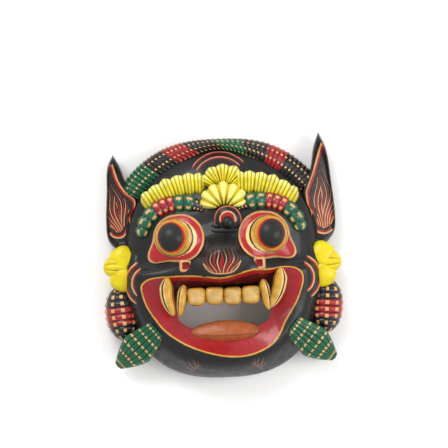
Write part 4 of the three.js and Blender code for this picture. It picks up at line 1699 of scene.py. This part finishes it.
@dataclass(frozen=True)
class Tufts:
    """The pointed leaf at each side of the jaw, fluted along its length."""

    root: tuple[float, float, float] = (61.5, -65.0, 42.0)
    tip: tuple[float, float, float] = (101.0, -98.0, 13.0)
    half_width: float = 16.0
    height: float = 9.0
    flutes: int = 6
    groove: float = 0.16
    dab_rows: float = 6.0

    def build(self, side: Side) -> Form:
        """Makes one leaf."""
        root, tip = np.array(self.root), np.array(self.tip)

        def path(share: Array) -> Array:
            return (root + (tip - root) * np.asarray(share)[:, None]) * np.array([side.value, 1, 1])

        def reach(share: Array, turn: Array) -> tuple[Array, Array]:
            late = np.clip(2 * share - 1, 0, 1)
            taper = np.where(share < 0.5, lerp(0.65, 1, 2 * share), 1 - 0.8 * late**1.4)
            flute = ridged(self.flutes * (0.5 + 0.5 * np.sin(turn)), self.groove)
            return self.half_width * taper, self.height * taper * flute

        def paint(share: Array, turn: Array, at: Array) -> Array:
            return stacked(0, self.flutes * (0.5 + 0.5 * np.sin(turn)), self.dab_rows * share)

        return shaped_ball(f"leaf_{side.label}", 72, 48, TUFT_PAINT, Roll(path, reach).place, paint)


# The mouth


@dataclass(frozen=True)
class Mouth:
    """The open mouth: its flare and hole, the teeth, the tusks, the fangs and the tongue."""

    tilt: float = 2.0
    teeth: int = 4
    pitch: float = 16.6
    tooth_top: float = -28.5
    tooth_bottom: float = -43.5
    tooth_half_depth: float = 9.0
    tooth_z: float = 55.0
    fang_root: tuple[float, float, float] = (36.0, -23.0, 54.0)
    fang_tip: tuple[float, float, float] = (41.0, -52.0, 57.0)
    fang_size: tuple[float, float] = (5.0, 7.0)
    left_tusk: tuple[tuple[float, float, float], ...] = ((51.0, -15.0, 56.0), (46.0, -51.0, 57.0))
    right_tusk: tuple[tuple[float, float, float], ...] = ((53.0, -13.5, 56.0), (42.0, -50.0, 57.0))
    tusk_size: tuple[float, float] = (6.4, 7.5)
    tusk_bow: float = 3.5
    tongue_y: float = -69.0
    tongue_half_length: float = 32.0
    tongue_half_width: float = 10.5
    tongue_height: float = 8.0
    tongue_z: float = 43.5
    cut_over: float = 12.0
    cut_top: float = 110.0
    # Painted shade in the mouth: the roof under the upper lip is pushed into the maroon band, and the roof
    # behind the teeth into the ink band.
    roof_shade: float = 62.0
    shade_behind_teeth: float = 140.0
    gum_half_width: float = 44.0
    gum_overlap: float = 3.0

    def cut(self) -> Form:
        """Makes what is cut away: a flare from the lip line in to the hole, and the hole itself."""
        lips = FACE.lips
        shares = np.concatenate([[0, 0], np.linspace(0, 1, 21), [1, 1]])
        rings = len(shares) - 1

        def walls(ring: Array, turn: Array) -> Array:
            hx, hy = lips.hole_point(turn)
            lx, ly = lips.lip_point(turn)
            share = shares[ring]
            crest = FACE.height(lx, ly)
            z = lerp(lips.floor, crest, share**lips.flare)
            z = np.where(ring == 1, BELOW_RIM, np.where(ring == rings - 1, crest + self.cut_over, z))
            return stacked(lerp(hx, lx, share), lerp(hy, ly, share), z)

        def place(share: Array, turn: Array) -> Array:
            ring = ring_of(share, rings)
            points = walls(np.clip(ring, 1, rings - 1), turn)
            centre = stacked(0 * turn, lips.hole_y, np.where(ring == 0, BELOW_RIM, self.cut_top))
            return np.where(((ring == 0) | (ring == rings))[:, None], centre, points)

        def paint(share: Array, turn: Array, at: Array) -> Array:
            lx, ly = lips.lip_point(turn)
            inward = np.hypot(at[:, 0] - lx, at[:, 1] - ly)
            # Painted shade: maroon on the roof under the upper lip.
            roof = smoothstep(np.sin(turn), 0.4, 0.58) * smoothstep(inward, 1.6, 5.0)
            inward = inward + self.roof_shade * roof
            level = at[:, 1] - at[:, 0] * math.tan(math.radians(self.tilt))
            # Painted shade: ink on the roof behind the teeth.
            behind = (np.abs(at[:, 0]) < self.gum_half_width) & (level < self.tooth_top + self.gum_overlap)
            return stacked(np.where(behind & (np.sin(turn) > 0.3), self.shade_behind_teeth, inward), turn, 0)

        return shaped_ball("mouth_cut", 200, rings, MOUTH_PAINT, place, paint)

    def tooth(self, number: int) -> Form:
        """Makes one blunt tooth with flat sides and softened edges."""
        x = (number - (self.teeth - 1) / 2) * self.pitch
        y, half = (self.tooth_top + self.tooth_bottom) / 2, (self.tooth_top - self.tooth_bottom) / 2
        radii = np.array([self.pitch * 0.53, half + 1.0, self.tooth_half_depth])

        def place(share: Array, turn: Array) -> Array:
            around = unit_ball(share, turn)
            power = np.where(around[:, 1] > 0, 4.0, 2.7)
            size = np.sum(np.abs(around) ** power[:, None], axis=1) ** (1 / power)
            sway = np.array([0.0, 0.5 * math.sin(2.1 * number), 0.4 * math.cos(1.7 * number)])
            return np.array([x, y, self.tooth_z]) + sway + around / size[:, None] * radii

        def paint(share: Array, turn: Array, at: Array) -> Array:
            return stacked(np.maximum(np.abs(at[:, 0] - x) / radii[0], np.abs(at[:, 1] - y) / radii[1]), 0, 0)

        return shaped_ball(f"tooth_{number}", 40, 24, TOOTH_PAINT, place, paint)

    def fang(self, side: Side, root: tuple, tip: tuple, size: tuple[float, float], bow: float) -> Form:
        """Makes a pointed tooth, bowed sideways, with stripes along it.

        Args:
            side: The side of the mouth.
            root: Where it begins, on the right side.
            tip: Where it ends, on the right side.
            size: Its half width and height.
            bow: How far its middle bows outwards.

        Returns:
            The closed form.
        """

        def path(share: Array) -> Array:
            x = side.value * (lerp(root[0], tip[0], share) + bow * np.sin(np.pi * share))
            y = lerp(root[1], tip[1], share) + x * math.tan(math.radians(self.tilt))
            return stacked(x, y, lerp(root[2], tip[2], share))

        def reach(share: Array, turn: Array) -> tuple[Array, Array]:
            taper = np.minimum(1, 4 * share) ** 0.5 * np.clip(1 - share**4, 0, None) ** 0.6
            return size[0] * taper, size[1] * taper

        def paint(share: Array, turn: Array, at: Array) -> Array:
            return stacked(-side.value * turn, share, 0)

        return shaped_ball(f"fang_{side.label}", 36, 32, TUSK_PAINT, Roll(path, reach).place, paint)

    def tongue(self) -> Form:
        """Makes the tongue, a leaf with a soft ridge that lies along the lower lip."""

        def path(share: Array) -> Array:
            x = lerp(-self.tongue_half_length, self.tongue_half_length, share)
            return stacked(x, self.tongue_y, self.tongue_z)

        def reach(share: Array, turn: Array) -> tuple[Array, Array]:
            scale = round_ends(share, 1.7)
            peak = 1 - 0.42 * np.abs(np.sin(turn + 0.36)) * (np.cos(turn) > 0)
            return self.tongue_half_width * scale, self.tongue_height * scale * peak

        # The first coordinate runs across the tongue from its upper flank to its downward one, where dark clay
        # lies as painted shade.
        def paint(share: Array, turn: Array, at: Array) -> Array:
            return stacked(-turn, share, 0)

        return shaped_ball("tongue", 44, 56, TONGUE_PAINT, Roll(path, reach).place, paint)


class Mask:
    """The whole mask, carved as one piece."""

    def pairs(self) -> list[Form]:
        """Makes the forms that stand on the face, in the order in which they are joined to it."""
        eyes, nose, flowers = Eyes(), Nose(), Flowers()
        makers = [Cheeks().build, Knots().build, Ears().build, eyes.lid, Tufts().build]
        forms = [on_both_sides(make) for make in makers]
        for number in range(len(flowers.petals)):
            forms.append(on_both_sides(lambda side: flowers.petal(side, number)))
        frame_of_hole = (nose.size, -nose.sunk, nose.rise, NOSTRIL_PAINT)
        forms.append(on_both_sides(lambda side: nose.block(side, *frame_of_hole)))
        forms += [*Forehead().build(), Hair().build(), *Crown().build()]
        return forms + [on_both_sides(make) for make in (Brows().build, eyes.ball)]

    def build(self) -> Form:
        """Carves the mask and returns it."""
        block = Head().build()
        for form in self.pairs():
            carve(block, form, "UNION")
        mouth, nose = Mouth(), Nose()
        carve(block, mouth.cut(), "DIFFERENCE")
        nostril = (nose.hole_size, -nose.hole_depth, nose.hole_over, GUM)
        carve(block, on_both_sides(lambda side: nose.block(side, *nostril)), "DIFFERENCE")
        apart = [range(first, mouth.teeth, 2) for first in (0, 1)]
        inside = [joined([mouth.tooth(number) for number in numbers]) for numbers in apart]
        fang = (mouth.fang_root, mouth.fang_tip, mouth.fang_size, 0.0)
        inside.append(on_both_sides(lambda side: mouth.fang(side, *fang)))
        ends = {Side.LEFT: mouth.left_tusk, Side.RIGHT: mouth.right_tusk}
        tusk = (mouth.tusk_size, mouth.tusk_bow)
        inside.append(on_both_sides(lambda side: mouth.fang(side, *ends[side], *tusk)))
        for form in [*inside, mouth.tongue()]:
            carve(block, form, "UNION")
        carve(block, Hollow().build(), "DIFFERENCE")
        self.finish(block)
        return block

    def finish(self, block: Form) -> None:
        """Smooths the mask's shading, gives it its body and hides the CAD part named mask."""
        select_only(block)
        bpy.ops.object.shade_smooth_by_angle(angle=math.radians(42))
        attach(block, "root")
        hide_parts("mask")
        triangles = sum(len(face.vertices) - 2 for face in block.data.polygons)
        LOG.info("piece %s: %d triangles, %d finishes", block.name, triangles, len(block.data.materials))


# The studio


@dataclass(frozen=True)
class Studio:
    """A pale floor, soft light from all round with softboxes over it, and the camera straight above.

    Attributes:
        aim: What the camera looks at.
        roll: How far the camera is turned, in degrees.
        distance: How far the camera stands from the mask's middle.
        view_width: How wide a view it has there.
        middle_z: Height of the mask's middle.
        sensor: Width of the camera's sensor.
        floor_drop: How far the floor lies under the rim.
        all_round: Strength of the light from all round.
        lit_z: Height that the softboxes point at, in metres.
        softboxes: Each one's name, place and size in metres, and its power in watts.
    """

    aim: tuple[float, float] = (2.9, 29.8)
    roll: float = -2.3
    distance: float = 5000.0
    view_width: float = 412.0
    middle_z: float = 40.0
    sensor: float = 36.0
    floor_drop: float = 0.4
    all_round: float = 0.8
    lit_z: float = 0.03
    softboxes: tuple[tuple[str, tuple[float, float, float], float, float], ...] = (
        ("key_softbox", (-0.55, 1.0, 1.1), 0.9, 15.0),
        ("fill_softbox", (0.95, -0.1, 0.9), 0.7, 8.0),
    )

    def floor(self) -> None:
        """Makes the pale floor that the mask lies on."""
        bpy.ops.object.select_all(action="DESELECT")
        bpy.ops.mesh.primitive_plane_add(size=8.0, location=(0, 0, -self.floor_drop * MM))
        floor = bpy.context.active_object
        floor.name = "floor"
        material = bpy.data.materials.new("pale_studio_paper")
        material.use_nodes = True
        shader = material.node_tree.nodes["Principled BSDF"]
        shader.inputs["Base Color"].default_value = Hue.PAPER.rgba
        shader.inputs["Roughness"].default_value = 0.9
        floor.data.materials.append(material)

    def lights(self) -> None:
        """Hangs the softboxes and sets the light from all round."""
        world = bpy.data.worlds.new("studio")
        bpy.context.scene.world = world
        world.use_nodes = True
        light = world.node_tree.nodes["Background"].inputs
        light["Color"].default_value = (1.0, 1.0, 1.0, 1.0)
        light["Strength"].default_value = self.all_round
        for name, at, size, power in self.softboxes:
            bpy.ops.object.light_add(type="AREA", location=at)
            lamp = bpy.context.active_object
            lamp.name = name
            lamp.data.shape, lamp.data.size, lamp.data.energy = "SQUARE", size, power
            aim = np.array([0, 0, self.lit_z]) - np.array(at)
            across, level = math.atan2(aim[0], -aim[1]), math.atan2(math.hypot(aim[0], aim[1]), -aim[2])
            lamp.rotation_euler = (level, 0, across + math.pi)

    def camera(self) -> None:
        """Sets the camera above the mask, turned as in the photograph."""
        data = bpy.data.cameras.new("camera")
        data.sensor_width = self.sensor
        data.lens = self.sensor * self.distance / self.view_width
        camera = bpy.data.objects.new("camera", data)
        bpy.context.scene.collection.objects.link(camera)
        camera.location = (self.aim[0] * MM, self.aim[1] * MM, (self.distance + self.middle_z) * MM)
        camera.rotation_euler = (0, 0, math.radians(self.roll))
        data.clip_end = 20.0
        bpy.context.scene.camera = camera

    def build(self) -> None:
        """Sets up the floor, the lights, the camera and plain colours."""
        self.floor()
        self.lights()
        self.camera()
        bpy.context.scene.view_settings.view_transform = "Standard"


def main() -> None:
    """Builds the mask and its studio."""
    logging.basicConfig(level=logging.INFO, format="%(name)s: %(message)s")
    Mask().build()
    Studio().build()


if __name__ == "__main__":
    main()
